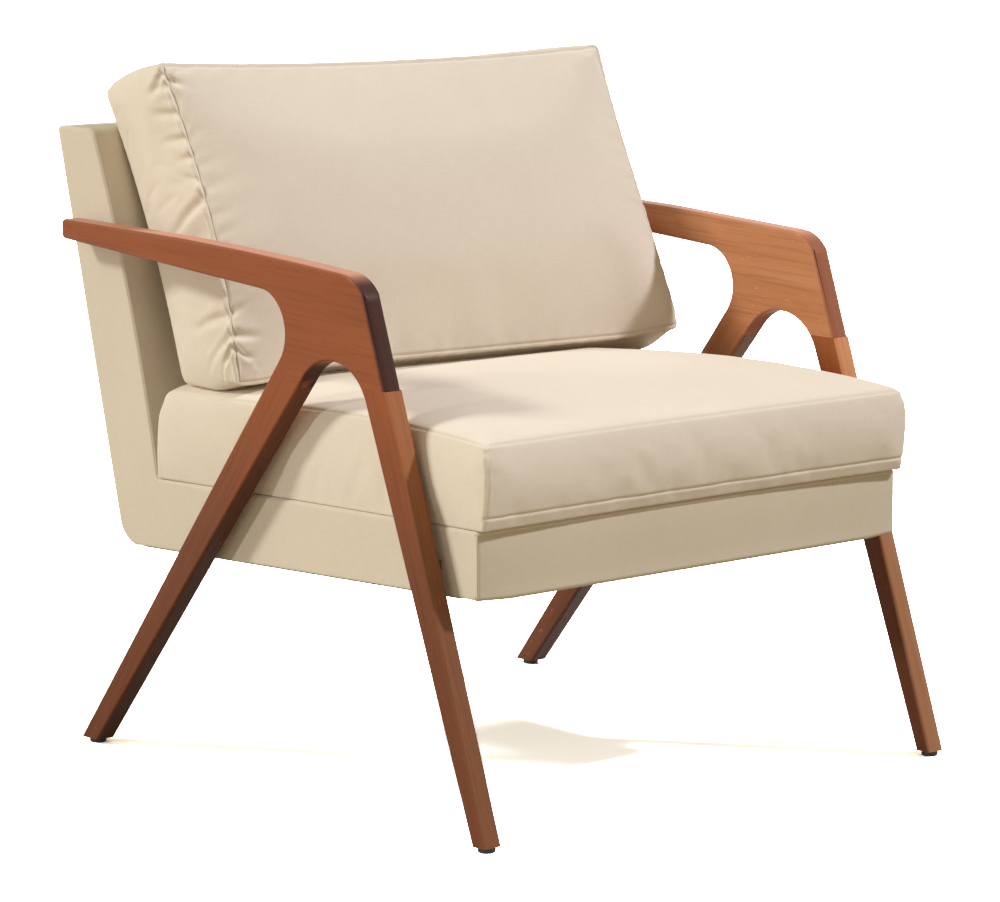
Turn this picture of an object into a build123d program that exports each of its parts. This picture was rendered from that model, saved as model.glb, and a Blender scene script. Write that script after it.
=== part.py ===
"""Accent armchair: an upholstered L-shaped shell held between two wooden
side frames, with a loose seat cushion and a loose back cushion.

Millimetres. +Z is up, the chair faces -Y, and X=0 is its middle plane.
The pieces are laid out with Y=0 half way between the feet and are moved at
the end so that the origin is under the middle of the whole chair.
"""
from build123d import *
import math
import os

# Overall width and the two side frames
OVERALL_WIDTH = 700.0
FRAME_THICK = 25.0
EDGE_EASE = 2.4

# Side frame outline before rounding: depths from the middle between the
# feet, heights as drops below the top of the arm's rear end
ARM_END_TOP = 608.5
ARM_END_HEIGHT = 22.5
ARM_PAST_BACK = 51.4
ARM_BOW = 5.0
ARM_END_ROUND = 5.0
KNEE_Y = -154.0
KNEE_DROP = 22.5
KNEE_RADIUS = 50.0
KNEE_EDGE_ROUND = 8.0
FRONT_FOOT_Y = -352.0
FRONT_FOOT_WIDTH = 21.0
REAR_FOOT_Y = 362.0
REAR_FOOT_WIDTH = 32.0
ARCH_CORNER_Y = -123.4
ARCH_CORNER_DROP = 58.6
ARCH_RADIUS = 60.5
CROOK_CORNER_Y = -66.8
CROOK_CORNER_DROP = 54.8
CROOK_RADIUS = 46.0
FRONT_JOINT_DROP = 139.5
REAR_JOINT_DROP = 137.5

# Dowels in the leg joints
DOWEL_DIAMETER = 8.0
DOWEL_LENGTH = 40.0
DOWEL_SPACING = 15.0
DOWEL_PLAY = 0.15

# Floor glides
GLIDE_HEIGHT = 6.0
GLIDE_DIAMETER = 19.0
GLIDE_CHAMFER = 1.2
NAIL_DIAMETER = 3.0
NAIL_REACH = 12.0
NAIL_PLAY = 0.1

# Upholstered shell: side profile before rounding
STAND_OFF = 10.0
SHELL_FRONT_Y = -302.0
SEAT_DEPTH = 557.0
BASE_FRONT_TOP = 331.0
DECK_FALL = 12.0
BASE_FRONT_HEIGHT = 75.0
BASE_REAR_HEIGHT = 85.0
BACK_HEIGHT = 392.0
BACK_LEAN = 0.298
BACK_BULGE = 10.0
BACK_TOP_DEPTH = 70.2
REAR_LEAN = 0.25
HEEL_RADIUS = 36.0
BACK_FRONT_ROUND = 16.0
BACK_REAR_ROUND = 6.0
BASE_ROUND = 5.0
INNER_ROUND = 6.0

# Shell build-up
COVER = 2.0
PANEL = 18.0
BACK_BOARD = 3.0
DECK_PAD = 15.0
BACK_PAD = 16.0
WEBBING = 1.5
WEBBING_WIDTH = 50.0
WEBBING_LAP = 14.0
LONG_STRAPS = 6
CROSS_STRAPS = 5
BACK_STRAPS = 4
BACK_STRAPS_ABOVE_DECK = 71.0
BACK_STRAPS_BELOW_TOP = 51.0
TOP_RAIL_HEIGHT = 45.0
LOWER_RAIL_RISE = 16.0
LOWER_RAIL_HEIGHT = 45.0
BRACE_DROP = 14.0
CORNER_BLOCK = 45.0
CORNER_BLOCK_HEIGHT = 18.0
SEAT_RAIL_INSET = 4.0

# Bolted joints between the frames and the shell
BOLT_DIAMETER = 6.0
BOLT_HEAD = 10.0
BOLT_HEAD_HEIGHT = 4.0
BOLT_HOLE = 7.0
WASHER_WIDTH = 14.0
WASHER_THICK = 1.6
INSERT_DIAMETER = 10.0
INSERT_LENGTH = 12.0
INSERT_PLAY = 0.1
SPACER_WIDTH = 9.0
BASE_BOLT_DROP = 43.0
ARM_BOLT_FROM_END = 14.0

# Seat cushion
SEAT_SIDE_GAP = 9.0
SEAT_OVERHANG = 11.0
SEAT_DRAW_IN = 6.0
SEAT_SIDE_DRAW_IN = 5.0
SEAT_FRONT_BULGE = 4.0
SEAT_FRONT_HEIGHT = 93.0
SEAT_CROWN_EDGE = 7.0
SEAT_CROWN_MID = 22.0
SEAT_FLAT_AHEAD = 4.0
SEAT_FLAT_RISE = 3.0
SEAT_REAR_GAP = 3.0
SEAT_REAR_TILT = 10.0
SEAT_REAR_FALL = 5.0
SEAT_LOWER_SEAM = 14.0

# Back cushion, in its own turned frame: Y from its lower front seam,
# heights above the flat of the seat
BACK_SIDE_GAP = 18.0
BACK_CUSHION_TURN = 5.7
BACK_ARM_GAP = 3.0
BACK_LEAN_GAP = 5.0
BACK_SEAM_LOW = 28.0
BACK_SEAM_HIGH = 361.0
BACK_SEAM_HIGH_Y = 157.0
BACK_TOP_DRAW_IN = 8.0
BACK_SIDE_DRAW_IN = 9.0
BACK_REAR_TOP = 325.0
BACK_REAR_TOP_Y = 284.0
BACK_REAR_LOW_Y = 118.0
BACK_CROWN_EDGE = 10.0
BACK_CROWN_MID = 40.0
BACK_TOP_BULGE = 7.0
BACK_UNDER_Y = 33.0
BACK_UNDER_BULGE = 5.0
BACK_SEAM_REAR_INSET = 12.0

# Both cushions: cloth and wadding round a foam core
FABRIC = 2.5
WADDING = 10.0
CORE_PLAY = 0.3
REST_GAP = 0.4
STATIONS = (-1.0, -0.55, 0.0, 0.55, 1.0)

# Widths
HALF = OVERALL_WIDTH / 2
FRAME_IN = HALF - FRAME_THICK
FRAME_MID_X = HALF - FRAME_THICK / 2
SHELL_WIDTH = 2 * (FRAME_IN - STAND_OFF)
SHELL_HALF = SHELL_WIDTH / 2
PANEL_OUT = SHELL_HALF - COVER
PANEL_IN = PANEL_OUT - PANEL
SEAT_WIDTH = 2 * (FRAME_IN - SEAT_SIDE_GAP)
BACK_CUSHION_WIDTH = 2 * (FRAME_IN - BACK_SIDE_GAP)

# Corners of the shell
FRONT_SLANT = math.hypot(1, BACK_LEAN)
REAR_SLANT = math.hypot(1, REAR_LEAN)
BASE_FRONT_BOTTOM = BASE_FRONT_TOP - BASE_FRONT_HEIGHT
BACK_FOOT_Y = SHELL_FRONT_Y + SEAT_DEPTH
BACK_FOOT_Z = BASE_FRONT_TOP - DECK_FALL
BACK_TOP_Z = BACK_FOOT_Z + BACK_HEIGHT
SHELL_HEEL_Z = BACK_FOOT_Z - BASE_REAR_HEIGHT
BACK_HEAD_Y = BACK_FOOT_Y + BACK_LEAN * BACK_HEIGHT
SHELL_REAR_Y = BACK_HEAD_Y + BACK_TOP_DEPTH
HEEL_Y = SHELL_REAR_Y - REAR_LEAN * (BACK_TOP_Z - SHELL_HEEL_Z)
BASE_BOLT_Z = BASE_FRONT_TOP - BASE_BOLT_DROP

# Corners of the side frame
ARM_END_BOTTOM = ARM_END_TOP - ARM_END_HEIGHT
ARM_END_Y = BACK_FOOT_Y + BACK_LEAN * (ARM_END_BOTTOM - BACK_FOOT_Z) + ARM_PAST_BACK
FRONT_JOINT_Z = ARM_END_TOP - FRONT_JOINT_DROP
REAR_JOINT_Z = ARM_END_TOP - REAR_JOINT_DROP
KNEE = (KNEE_Y, ARM_END_TOP - KNEE_DROP)
FRONT_TOE = (FRONT_FOOT_Y, GLIDE_HEIGHT)
FRONT_HEEL = (FRONT_FOOT_Y + FRONT_FOOT_WIDTH, GLIDE_HEIGHT)
REAR_TOE = (REAR_FOOT_Y - REAR_FOOT_WIDTH, GLIDE_HEIGHT)
REAR_HEEL = (REAR_FOOT_Y, GLIDE_HEIGHT)
ARCH_CORNER = (ARCH_CORNER_Y, ARM_END_TOP - ARCH_CORNER_DROP)
CROOK_CORNER = (CROOK_CORNER_Y, ARM_END_TOP - CROOK_CORNER_DROP)
FAR = 2 * (HALF + ARM_END_Y)

# Heights of the cushions
SEAT_SEAM_Z = BASE_FRONT_TOP + SEAT_FRONT_HEIGHT
SEAT_FLAT_Z = SEAT_SEAM_Z + SEAT_FLAT_RISE
SEAT_REAR_Z = SEAT_FLAT_Z - SEAT_REAR_FALL
SEAT_FRONT_Y = SHELL_FRONT_Y - SEAT_OVERHANG
SEAT_REAR_Y = BACK_FOOT_Y - SEAT_REAR_GAP
BACK_SEAM_LOW_Z = SEAT_FLAT_Z + BACK_SEAM_LOW
BACK_SEAM_HIGH_Z = SEAT_FLAT_Z + BACK_SEAM_HIGH
BACK_REAR_TOP_Z = SEAT_FLAT_Z + BACK_REAR_TOP


def y_at(start, end, z):
    """Y of the straight line start-end at height z."""
    return start[0] + (end[0] - start[0]) * (z - start[1]) / (end[1] - start[1])


def z_at(start, end, y):
    """Z of the straight line start-end at depth y."""
    return start[1] + (end[1] - start[1]) * (y - start[0]) / (end[0] - start[0])


def region(*points):
    """Flat (Y, Z) face with straight sides."""
    return make_face(Polyline(*points, close=True))


def across(face, x_from, x_to):
    """Solid of a (Y, Z) face pulled from one X to another."""
    return extrude(Plane.YZ.offset(x_from) * face, x_to - x_from)


def rod(start, direction, diameter, length):
    """Round rod that starts at a point and runs along a direction."""
    plane = Plane(origin=start, z_dir=direction)
    return extrude(plane * Circle(diameter / 2), length)


def round_corner(face, corner, radius):
    """The face with the corner nearest to a (Y, Z) point rounded."""
    vertex = face.vertices().sort_by_distance((corner[0], corner[1], 0))[0]
    return fillet(vertex, radius)


def mirrored(shape):
    return mirror(shape, about=Plane.YZ)


def both_sides(shape):
    """A group of the given solids and their mirror images."""
    return Compound(children=list(shape.solids()) + list(mirrored(shape).solids()))


# Wooden side frames

def frame_outline():
    """Arm, knee and both legs as one outline."""
    end_top = (ARM_END_Y, ARM_END_TOP)
    end_bottom = (ARM_END_Y, ARM_END_BOTTOM)
    bow = ((ARM_END_Y + KNEE[0]) / 2, (ARM_END_TOP + KNEE[1]) / 2 + ARM_BOW)
    edges = [
        ThreePointArc(end_top, bow, KNEE),
        Polyline(KNEE, FRONT_TOE, FRONT_HEEL, ARCH_CORNER, REAR_TOE,
                 REAR_HEEL, CROOK_CORNER, end_bottom, end_top),
    ]
    face = make_face(Curve() + edges)
    face = round_corner(face, KNEE, KNEE_RADIUS)
    face = round_corner(face, ARCH_CORNER, ARCH_RADIUS)
    face = round_corner(face, CROOK_CORNER, CROOK_RADIUS)
    face = round_corner(face, end_top, ARM_END_ROUND)
    return round_corner(face, end_bottom, ARM_END_ROUND)


def rear_joint():
    """Middle of the rear leg's joint and the unit direction down the leg."""
    front = y_at(ARCH_CORNER, REAR_TOE, REAR_JOINT_Z)
    rear = y_at(CROOK_CORNER, REAR_HEEL, REAR_JOINT_Z)
    foot_y = REAR_FOOT_Y - REAR_FOOT_WIDTH / 2
    middle = Vector(0, (front + rear) / 2, REAR_JOINT_Z)
    down = Vector(0, foot_y, GLIDE_HEIGHT) - middle
    return middle, down.normalized()


def front_joint():
    """Middle of the front leg's joint and the unit direction down the leg."""
    front = y_at(KNEE, FRONT_TOE, FRONT_JOINT_Z)
    rear = y_at(ARCH_CORNER, FRONT_HEEL, FRONT_JOINT_Z)
    middle = Vector(0, (front + rear) / 2, FRONT_JOINT_Z)
    down = Vector(0, *FRONT_TOE) - Vector(0, *KNEE)
    return middle, down.normalized()


def leg_regions():
    """Flat regions below the two leg joints, used to part the outline."""
    arch_y = ARCH_CORNER_Y
    front = region((-FAR, 0), (-FAR, FRONT_JOINT_Z), (arch_y, FRONT_JOINT_Z), (arch_y, 0))
    middle, down = rear_joint()
    side = Vector(0, -down.Z, down.Y) * (ARCH_RADIUS + DOWEL_SPACING / 2)
    corners = [middle + side, middle + side + down * FAR, middle - side + down * FAR, middle - side]
    rear = region(*[(c.Y, c.Z) for c in corners])
    return front, rear


def leg_dowels():
    """Two dowels in each leg joint of the left frame."""
    rods = []
    for middle, down in (front_joint(), rear_joint()):
        side = Vector(0, -down.Z, down.Y)
        for step in (-0.5, 0.5):
            start = middle + side * (step * DOWEL_SPACING) - down * (DOWEL_LENGTH / 2)
            start.X = -FRAME_MID_X
            rods.append((start, down))
    return rods


def bolt_points():
    """(Y, Z) of the bolts through the front leg, rear leg and arm end."""
    front = (y_at(KNEE, FRONT_TOE, BASE_BOLT_Z) + y_at(ARCH_CORNER, FRONT_HEEL, BASE_BOLT_Z)) / 2
    rear = (y_at(ARCH_CORNER, REAR_TOE, BASE_BOLT_Z) + y_at(CROOK_CORNER, REAR_HEEL, BASE_BOLT_Z)) / 2
    arm_y = ARM_END_Y - ARM_BOLT_FROM_END
    arm_z = (ARM_END_TOP + z_at(CROOK_CORNER, (ARM_END_Y, ARM_END_BOTTOM), arm_y)) / 2
    return [(front, BASE_BOLT_Z), (rear, BASE_BOLT_Z), (arm_y, arm_z)]


def glide_points():
    front = FRONT_FOOT_Y + FRONT_FOOT_WIDTH / 2
    rear = REAR_FOOT_Y - REAR_FOOT_WIDTH / 2
    return [front, rear]


def frame_drillings():
    """Everything bored out of the left frame for dowels, inserts and nails."""
    cuts = []
    for start, down in leg_dowels():
        tip = start - down * DOWEL_PLAY
        cuts.append(rod(tip, down, DOWEL_DIAMETER + 2 * DOWEL_PLAY, DOWEL_LENGTH + 2 * DOWEL_PLAY))
    for y, z in bolt_points():
        depth = INSERT_LENGTH + BOLT_DIAMETER / 2
        start = (-FRAME_IN, y, z)
        cuts.append(rod(start, (-1, 0, 0), INSERT_DIAMETER + 2 * INSERT_PLAY, depth))
    for y in glide_points():
        start = (-FRAME_MID_X, y, GLIDE_HEIGHT)
        cuts.append(rod(start, (0, 0, 1), NAIL_DIAMETER + 2 * NAIL_PLAY, NAIL_REACH + NAIL_PLAY))
    return cuts


def knee_envelope():
    """Long bar along the front of the leg, with the wide rounding of the knee's front edges."""
    plane = Plane(origin=(-FRAME_MID_X, *KNEE), x_dir=(1, 0, 0), z_dir=front_joint()[1])
    side = FRAME_THICK / 2
    face = region((-side, -FAR), (side, -FAR), (side, 0), (-side, 0))
    for corner in ((side, 0), (-side, 0)):
        face = round_corner(face, corner, KNEE_EDGE_ROUND)
    return extrude(plane * face, FAR, both=True)


def left_frame():
    """Arm, front leg and rear leg of the left frame."""
    whole = across(frame_outline(), -HALF, -FRAME_IN)
    faces = whole.faces().sort_by(Axis.X)
    rims = faces[0].edges() + faces[-1].edges()
    rims = [e for e in rims if e.center().Z > GLIDE_HEIGHT + EDGE_EASE]
    whole = chamfer(rims, EDGE_EASE)
    for cut in frame_drillings():
        whole = whole - cut
    front, rear = [across(r, -HALF, -FRAME_IN) for r in leg_regions()]
    return (whole - front - rear) & knee_envelope(), whole & front, whole & rear


def glides():
    """Floor glides and their nails under the left feet."""
    discs = []
    nails = []
    for y in glide_points():
        disc = rod((-FRAME_MID_X, y, 0), (0, 0, 1), GLIDE_DIAMETER, GLIDE_HEIGHT)
        discs.append(chamfer(disc.edges().sort_by(Axis.Z)[0], GLIDE_CHAMFER))
        nails.append(rod((-FRAME_MID_X, y, GLIDE_HEIGHT), (0, 0, 1), NAIL_DIAMETER, NAIL_REACH))
    return Compound(children=discs), Compound(children=nails)


# Bolts, washers, inserts and spacers of the left frame

def bolt(y, z):
    """Hexagon-head bolt from inside the shell into the frame's insert."""
    head_x = -PANEL_IN + WASHER_THICK
    shank = rod((head_x, y, z), (-1, 0, 0), BOLT_DIAMETER, FRAME_IN + INSERT_LENGTH + head_x)
    head_plane = Plane(origin=(head_x, y, z), z_dir=(1, 0, 0))
    head = extrude(head_plane * RegularPolygon(BOLT_HEAD / 2, 6, major_radius=False), BOLT_HEAD_HEIGHT)
    return shank + head


def square_plate(x, y, z, width, thick):
    """Square plate with a bolt hole, from x towards -X."""
    plane = Plane(origin=(x, y, z), z_dir=(-1, 0, 0))
    return extrude(plane * (Rectangle(width, width) - Circle(BOLT_HOLE / 2)), thick)


def insert(y, z):
    """Threaded insert in the frame's inner face."""
    plane = Plane(origin=(-FRAME_IN, y, z), z_dir=(-1, 0, 0))
    bore = Circle(BOLT_DIAMETER / 2 + INSERT_PLAY)
    return extrude(plane * (Circle(INSERT_DIAMETER / 2) - bore), INSERT_LENGTH)


def fastenings():
    bolts, washers, inserts, spacers = [], [], [], []
    for y, z in bolt_points():
        bolts.append(bolt(y, z))
        washers.append(square_plate(-PANEL_IN + WASHER_THICK, y, z, WASHER_WIDTH, WASHER_THICK))
        inserts.append(insert(y, z))
        spacers.append(square_plate(-SHELL_HALF, y, z, SPACER_WIDTH, STAND_OFF))
    return [Compound(children=group) for group in (bolts, washers, inserts, spacers)]


def with_bolt_holes(shape):
    """The shape drilled through for the left bolts."""
    for y, z in bolt_points():
        shape = shape - rod((-PANEL_IN, y, z), (-1, 0, 0), BOLT_HOLE, PANEL + COVER)
    return shape


# Upholstered shell

BASE_TOP = ((SHELL_FRONT_Y, BASE_FRONT_TOP), (BACK_FOOT_Y, BACK_FOOT_Z))
BASE_BOTTOM = ((SHELL_FRONT_Y, BASE_FRONT_BOTTOM), (HEEL_Y, SHELL_HEEL_Z))
BACK_FRONT = ((BACK_FOOT_Y, BACK_FOOT_Z), (BACK_HEAD_Y, BACK_TOP_Z))
BACK_REAR = ((HEEL_Y, SHELL_HEEL_Z), (SHELL_REAR_Y, BACK_TOP_Z))


def deck_z(y):
    return z_at(*BASE_TOP, y)


def underside_z(y):
    return z_at(*BASE_BOTTOM, y)


def inner_back_y(z):
    """Depth of the straight chord of the inner back at height z."""
    return y_at(*BACK_FRONT, z)


def outer_back_y(z):
    return y_at(*BACK_REAR, z)


def shell_profile():
    """Side view of the upholstered shell."""
    middle = ((BACK_FOOT_Y + BACK_HEAD_Y) / 2 - BACK_BULGE / FRONT_SLANT,
              (BACK_FOOT_Z + BACK_TOP_Z) / 2 + BACK_BULGE * BACK_LEAN / FRONT_SLANT)
    front_bottom, front_top = BASE_BOTTOM[0], BASE_TOP[0]
    head_rear = BACK_REAR[1]
    edges = [
        ThreePointArc(BACK_FRONT[0], middle, BACK_FRONT[1]),
        Polyline(BACK_FRONT[1], head_rear, BACK_REAR[0], front_bottom, front_top, BACK_FRONT[0]),
    ]
    face = make_face(Curve() + edges)
    corners = [(front_bottom, BASE_ROUND), (front_top, BASE_ROUND), (BACK_FRONT[0], INNER_ROUND),
               (BACK_FRONT[1], BACK_FRONT_ROUND), (head_rear, BACK_REAR_ROUND),
               (BACK_REAR[0], HEEL_RADIUS)]
    for corner, radius in corners:
        face = round_corner(face, corner, radius)
    return face


def skin_regions():
    """Regions that part the shell's skin at its seams."""
    ahead, hub_y = SHELL_FRONT_Y - PANEL, SHELL_FRONT_Y + PANEL
    low_z, high_z = BASE_FRONT_BOTTOM + BASE_ROUND, BASE_FRONT_TOP - BASE_ROUND
    knee = (BACK_FOOT_Y + PANEL, BACK_FOOT_Z - PANEL)
    crest = (SHELL_REAR_Y - PANEL, BACK_TOP_Z - PANEL)
    behind = (SHELL_REAR_Y + PANEL, BACK_TOP_Z - BACK_REAR_ROUND)
    sole_y = HEEL_Y - HEEL_RADIUS
    fold = (BACK_FOOT_Y - PANEL, BACK_TOP_Z)
    return {
        "base_front_cover": region((ahead, low_z), (hub_y, low_z), (hub_y, high_z), (ahead, high_z)),
        "deck_cover": region((ahead, high_z), (hub_y, high_z), knee, BACK_FRONT[0], fold,
                             (ahead, BACK_TOP_Z)),
        "inner_back_cover": region(fold, BACK_FRONT[0], knee, crest, behind,
                                   (behind[0], FAR), (fold[0], FAR)),
        "outer_back_cover": region(crest, behind, (FAR, 0), (sole_y, 0), (sole_y, knee[1]), knee),
        "dust_cover": region((sole_y, 0), (sole_y, knee[1]), (hub_y, low_z), (ahead, low_z), (ahead, 0)),
    }


def inside():
    """Side view of the space within the shell's skin."""
    return offset(shell_profile(), -COVER)


def skin_covers(profile):
    """Fabric panels over the shell between its two sides."""
    skin = profile - inside()
    return {name: across(skin & part, -PANEL_OUT, PANEL_OUT) for name, part in skin_regions().items()}


PAD_SHIFT = (COVER + BACK_PAD) * FRONT_SLANT
POST_FRONT_SHIFT = (COVER + BACK_PAD + WEBBING) * FRONT_SLANT
COVER_REAR_SHIFT = COVER * REAR_SLANT
POST_REAR_SHIFT = (COVER + BACK_BOARD) * REAR_SLANT
STRAP_DROP = COVER + DECK_PAD
RAIL_DROP = STRAP_DROP + 2 * WEBBING


def between(y_from, y_to, top_drop, thick=FAR):
    """Layer of the base from one depth to another, so far below the deck."""
    face = region((y_from, deck_z(y_from) - top_drop - thick), (y_from, deck_z(y_from) - top_drop),
                  (y_to, deck_z(y_to) - top_drop), (y_to, deck_z(y_to) - top_drop - thick))
    return face & inside()


def back_band(z_low, z_high):
    """Part of the back's frame between two heights."""
    front, rear = POST_FRONT_SHIFT, POST_REAR_SHIFT
    face = region((inner_back_y(z_low) + front, z_low), (outer_back_y(z_low) - rear, z_low),
                  (outer_back_y(z_high) - rear, z_high), (inner_back_y(z_high) + front, z_high))
    return face & inside()


POST_FRONT_LOW = BACK_FOOT_Y + POST_FRONT_SHIFT


def base_rail():
    """Left rail of the base, from its front to the back post."""
    face = between(SHELL_FRONT_Y, POST_FRONT_LOW, RAIL_DROP)
    return with_bolt_holes(across(face, -PANEL_OUT, -PANEL_IN))


def back_post():
    """Left post of the back, with the rounded heel of the shell."""
    low, high = BACK_FOOT_Z, BACK_TOP_Z
    zone = region((POST_FRONT_LOW, 0), (POST_FRONT_LOW, low),
                  (inner_back_y(high) + POST_FRONT_SHIFT, high),
                  (outer_back_y(high) - POST_REAR_SHIFT, high),
                  (HEEL_Y - POST_REAR_SHIFT, SHELL_HEEL_Z), (HEEL_Y, 0))
    return with_bolt_holes(across(zone & inside(), -PANEL_OUT, -PANEL_IN))


def back_board():
    """Thin board behind the posts."""
    low, high = SHELL_HEEL_Z + HEEL_RADIUS, BACK_TOP_Z - BACK_REAR_ROUND
    face = region((outer_back_y(low) - POST_REAR_SHIFT, low), (outer_back_y(low) - COVER_REAR_SHIFT, low),
                  (outer_back_y(high) - COVER_REAR_SHIFT, high), (outer_back_y(high) - POST_REAR_SHIFT, high))
    return across(face & inside(), -PANEL_OUT, PANEL_OUT)


def back_pad():
    """Padding of the inner back, behind its cover and in front of the webbing."""
    low = deck_z(BACK_FOOT_Y) - STRAP_DROP
    zone = region((BACK_FOOT_Y, low), (BACK_FOOT_Y, BACK_FOOT_Z), (BACK_FOOT_Y - PANEL, BACK_TOP_Z),
                  (inner_back_y(BACK_TOP_Z) + PAD_SHIFT, BACK_TOP_Z), (inner_back_y(low) + PAD_SHIFT, low))
    return across(zone & inside(), -PANEL_OUT, PANEL_OUT)


def deck_pad():
    """Padding under the deck cover."""
    return across(between(SHELL_FRONT_Y, BACK_FOOT_Y, COVER, DECK_PAD), -PANEL_OUT, PANEL_OUT)


def seat_rails():
    """Front rail, rear seat rail and middle brace of the base."""
    front_y, rear_y = SHELL_FRONT_Y + COVER + PANEL, POST_FRONT_LOW - SEAT_RAIL_INSET
    front = between(SHELL_FRONT_Y, front_y, RAIL_DROP)
    rear = between(rear_y - PANEL, rear_y, RAIL_DROP)
    brace = between(front_y, rear_y - PANEL, RAIL_DROP + BRACE_DROP)
    return (across(front, -PANEL_IN, PANEL_IN), across(rear, -PANEL_IN, PANEL_IN),
            across(brace, -PANEL / 2, PANEL / 2))


def back_rails():
    """Top and lower rails between the back posts."""
    top = back_band(BACK_TOP_Z - TOP_RAIL_HEIGHT, BACK_TOP_Z)
    low_z = BACK_FOOT_Z + LOWER_RAIL_RISE
    low = back_band(low_z, low_z + LOWER_RAIL_HEIGHT)
    return across(top, -PANEL_IN, PANEL_IN), across(low, -PANEL_IN, PANEL_IN)


def corner_blocks():
    """Triangular glue blocks in the four corners of the base."""
    front_y = SHELL_FRONT_Y + COVER + PANEL
    rear_y = POST_FRONT_LOW - SEAT_RAIL_INSET - PANEL
    blocks = []
    for y, way in ((front_y, 1), (rear_y, -1)):
        z = max(underside_z(y), underside_z(y + way * CORNER_BLOCK)) + COVER
        outline = Polyline((-PANEL_IN, y), (-PANEL_IN + CORNER_BLOCK, y),
                           (-PANEL_IN, y + way * CORNER_BLOCK), close=True)
        blocks.append(extrude(Plane.XY.offset(z) * make_face(outline), CORNER_BLOCK_HEIGHT))
    return both_sides(Compound(children=blocks))


def spread(count, low, high):
    """Evenly spaced middles of so many straps between two ends."""
    count = round(count)
    step = (high - low) / count
    return [low + step * (i + 0.5) for i in range(count)]


def seat_webbing():
    """Straps from front to rear, and straps from side to side on top of them."""
    rear_y = POST_FRONT_LOW - SEAT_RAIL_INSET
    y_from, y_to = SHELL_FRONT_Y + COVER + PANEL - WEBBING_LAP, rear_y - PANEL + WEBBING_LAP
    lower = between(y_from, y_to, STRAP_DROP + WEBBING, WEBBING)
    long_straps = [across(lower, x - WEBBING_WIDTH / 2, x + WEBBING_WIDTH / 2)
                   for x in spread(LONG_STRAPS, -PANEL_IN, PANEL_IN)]
    cross_straps = []
    for y in spread(CROSS_STRAPS, SHELL_FRONT_Y + COVER + PANEL, rear_y - PANEL):
        low, high = y - WEBBING_WIDTH / 2, y + WEBBING_WIDTH / 2
        upper = between(low, high, STRAP_DROP, WEBBING)
        cross_straps.append(across(upper, -PANEL_IN - WEBBING_LAP, PANEL_IN + WEBBING_LAP))
    return Compound(children=long_straps), Compound(children=cross_straps)


def back_webbing():
    """Straps from post to post in front of the back's frame."""
    straps = []
    lowest, highest = BACK_FOOT_Z + BACK_STRAPS_ABOVE_DECK, BACK_TOP_Z - BACK_STRAPS_BELOW_TOP
    for z in spread(BACK_STRAPS, lowest, highest):
        low, high = z - WEBBING_WIDTH / 2, z + WEBBING_WIDTH / 2
        face = region((inner_back_y(low) + PAD_SHIFT, low), (inner_back_y(low) + POST_FRONT_SHIFT, low),
                      (inner_back_y(high) + POST_FRONT_SHIFT, high), (inner_back_y(high) + PAD_SHIFT, high))
        straps.append(across(face, -PANEL_IN - WEBBING_LAP, PANEL_IN + WEBBING_LAP))
    return Compound(children=straps)


# Cushions

def swell(station):
    """1 at the middle of a cushion's width and 0 at its two ends."""
    return 1 - station * station


def arc_between(start, end, rise):
    """Arc whose middle stands to the left of start-end by rise."""
    dy, dz = end[0] - start[0], end[1] - start[1]
    length = math.hypot(dy, dz)
    middle = ((start[0] + end[0]) / 2 - dz / length * rise, (start[1] + end[1]) / 2 + dy / length * rise)
    return ThreePointArc(start, middle, end)


TURN = math.radians(BACK_CUSHION_TURN)
BACK_HALF = BACK_CUSHION_WIDTH / 2
BACK_CUSHION_REAR = ((BACK_REAR_LOW_Y, SEAT_FLAT_Z), (BACK_REAR_TOP_Y, BACK_REAR_TOP_Z))


def back_cushion_place():
    """Where the back cushion's own frame stands: against the back on the left, clear of the right arm."""
    lean_z = BACK_TOP_Z - BACK_FRONT_ROUND
    rear_y = math.sin(TURN) * BACK_HALF + math.cos(TURN) * y_at(*BACK_CUSHION_REAR, lean_z)
    side_x = math.cos(TURN) * BACK_HALF + math.sin(TURN) * y_at(*BACK_CUSHION_REAR, ARM_END_TOP)
    return FRAME_IN - BACK_ARM_GAP - side_x, inner_back_y(lean_z) - BACK_LEAN_GAP - rear_y


def seat_flat_y():
    """Where the seat's flat begins, ahead of the back cushion's nearest corner."""
    corner = math.cos(TURN) * BACK_UNDER_Y - math.sin(TURN) * BACK_HALF
    return back_cushion_place()[1] + corner - SEAT_FLAT_AHEAD


def seat_section(station):
    """Side view of the seat cushion at one place across its width."""
    front = SEAT_FRONT_Y + SEAT_DRAW_IN * swell(station)
    crown = SEAT_CROWN_EDGE + (SEAT_CROWN_MID - SEAT_CROWN_EDGE) * swell(station)
    low_y = front + SEAT_FRONT_BULGE
    low_front = (low_y, deck_z(low_y) + REST_GAP)
    low_rear = (SEAT_REAR_Y, deck_z(SEAT_REAR_Y) + REST_GAP)
    seam_front = (front, SEAT_SEAM_Z)
    flat = (seat_flat_y(), SEAT_FLAT_Z)
    seam_rear = (SEAT_REAR_Y - SEAT_REAR_TILT, SEAT_REAR_Z)
    edges = [arc_between(low_front, seam_front, SEAT_FRONT_BULGE),
             arc_between(seam_front, flat, crown),
             Line(flat, seam_rear), Line(seam_rear, low_rear), Line(low_rear, low_front)]
    return make_face(Curve() + edges)


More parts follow.
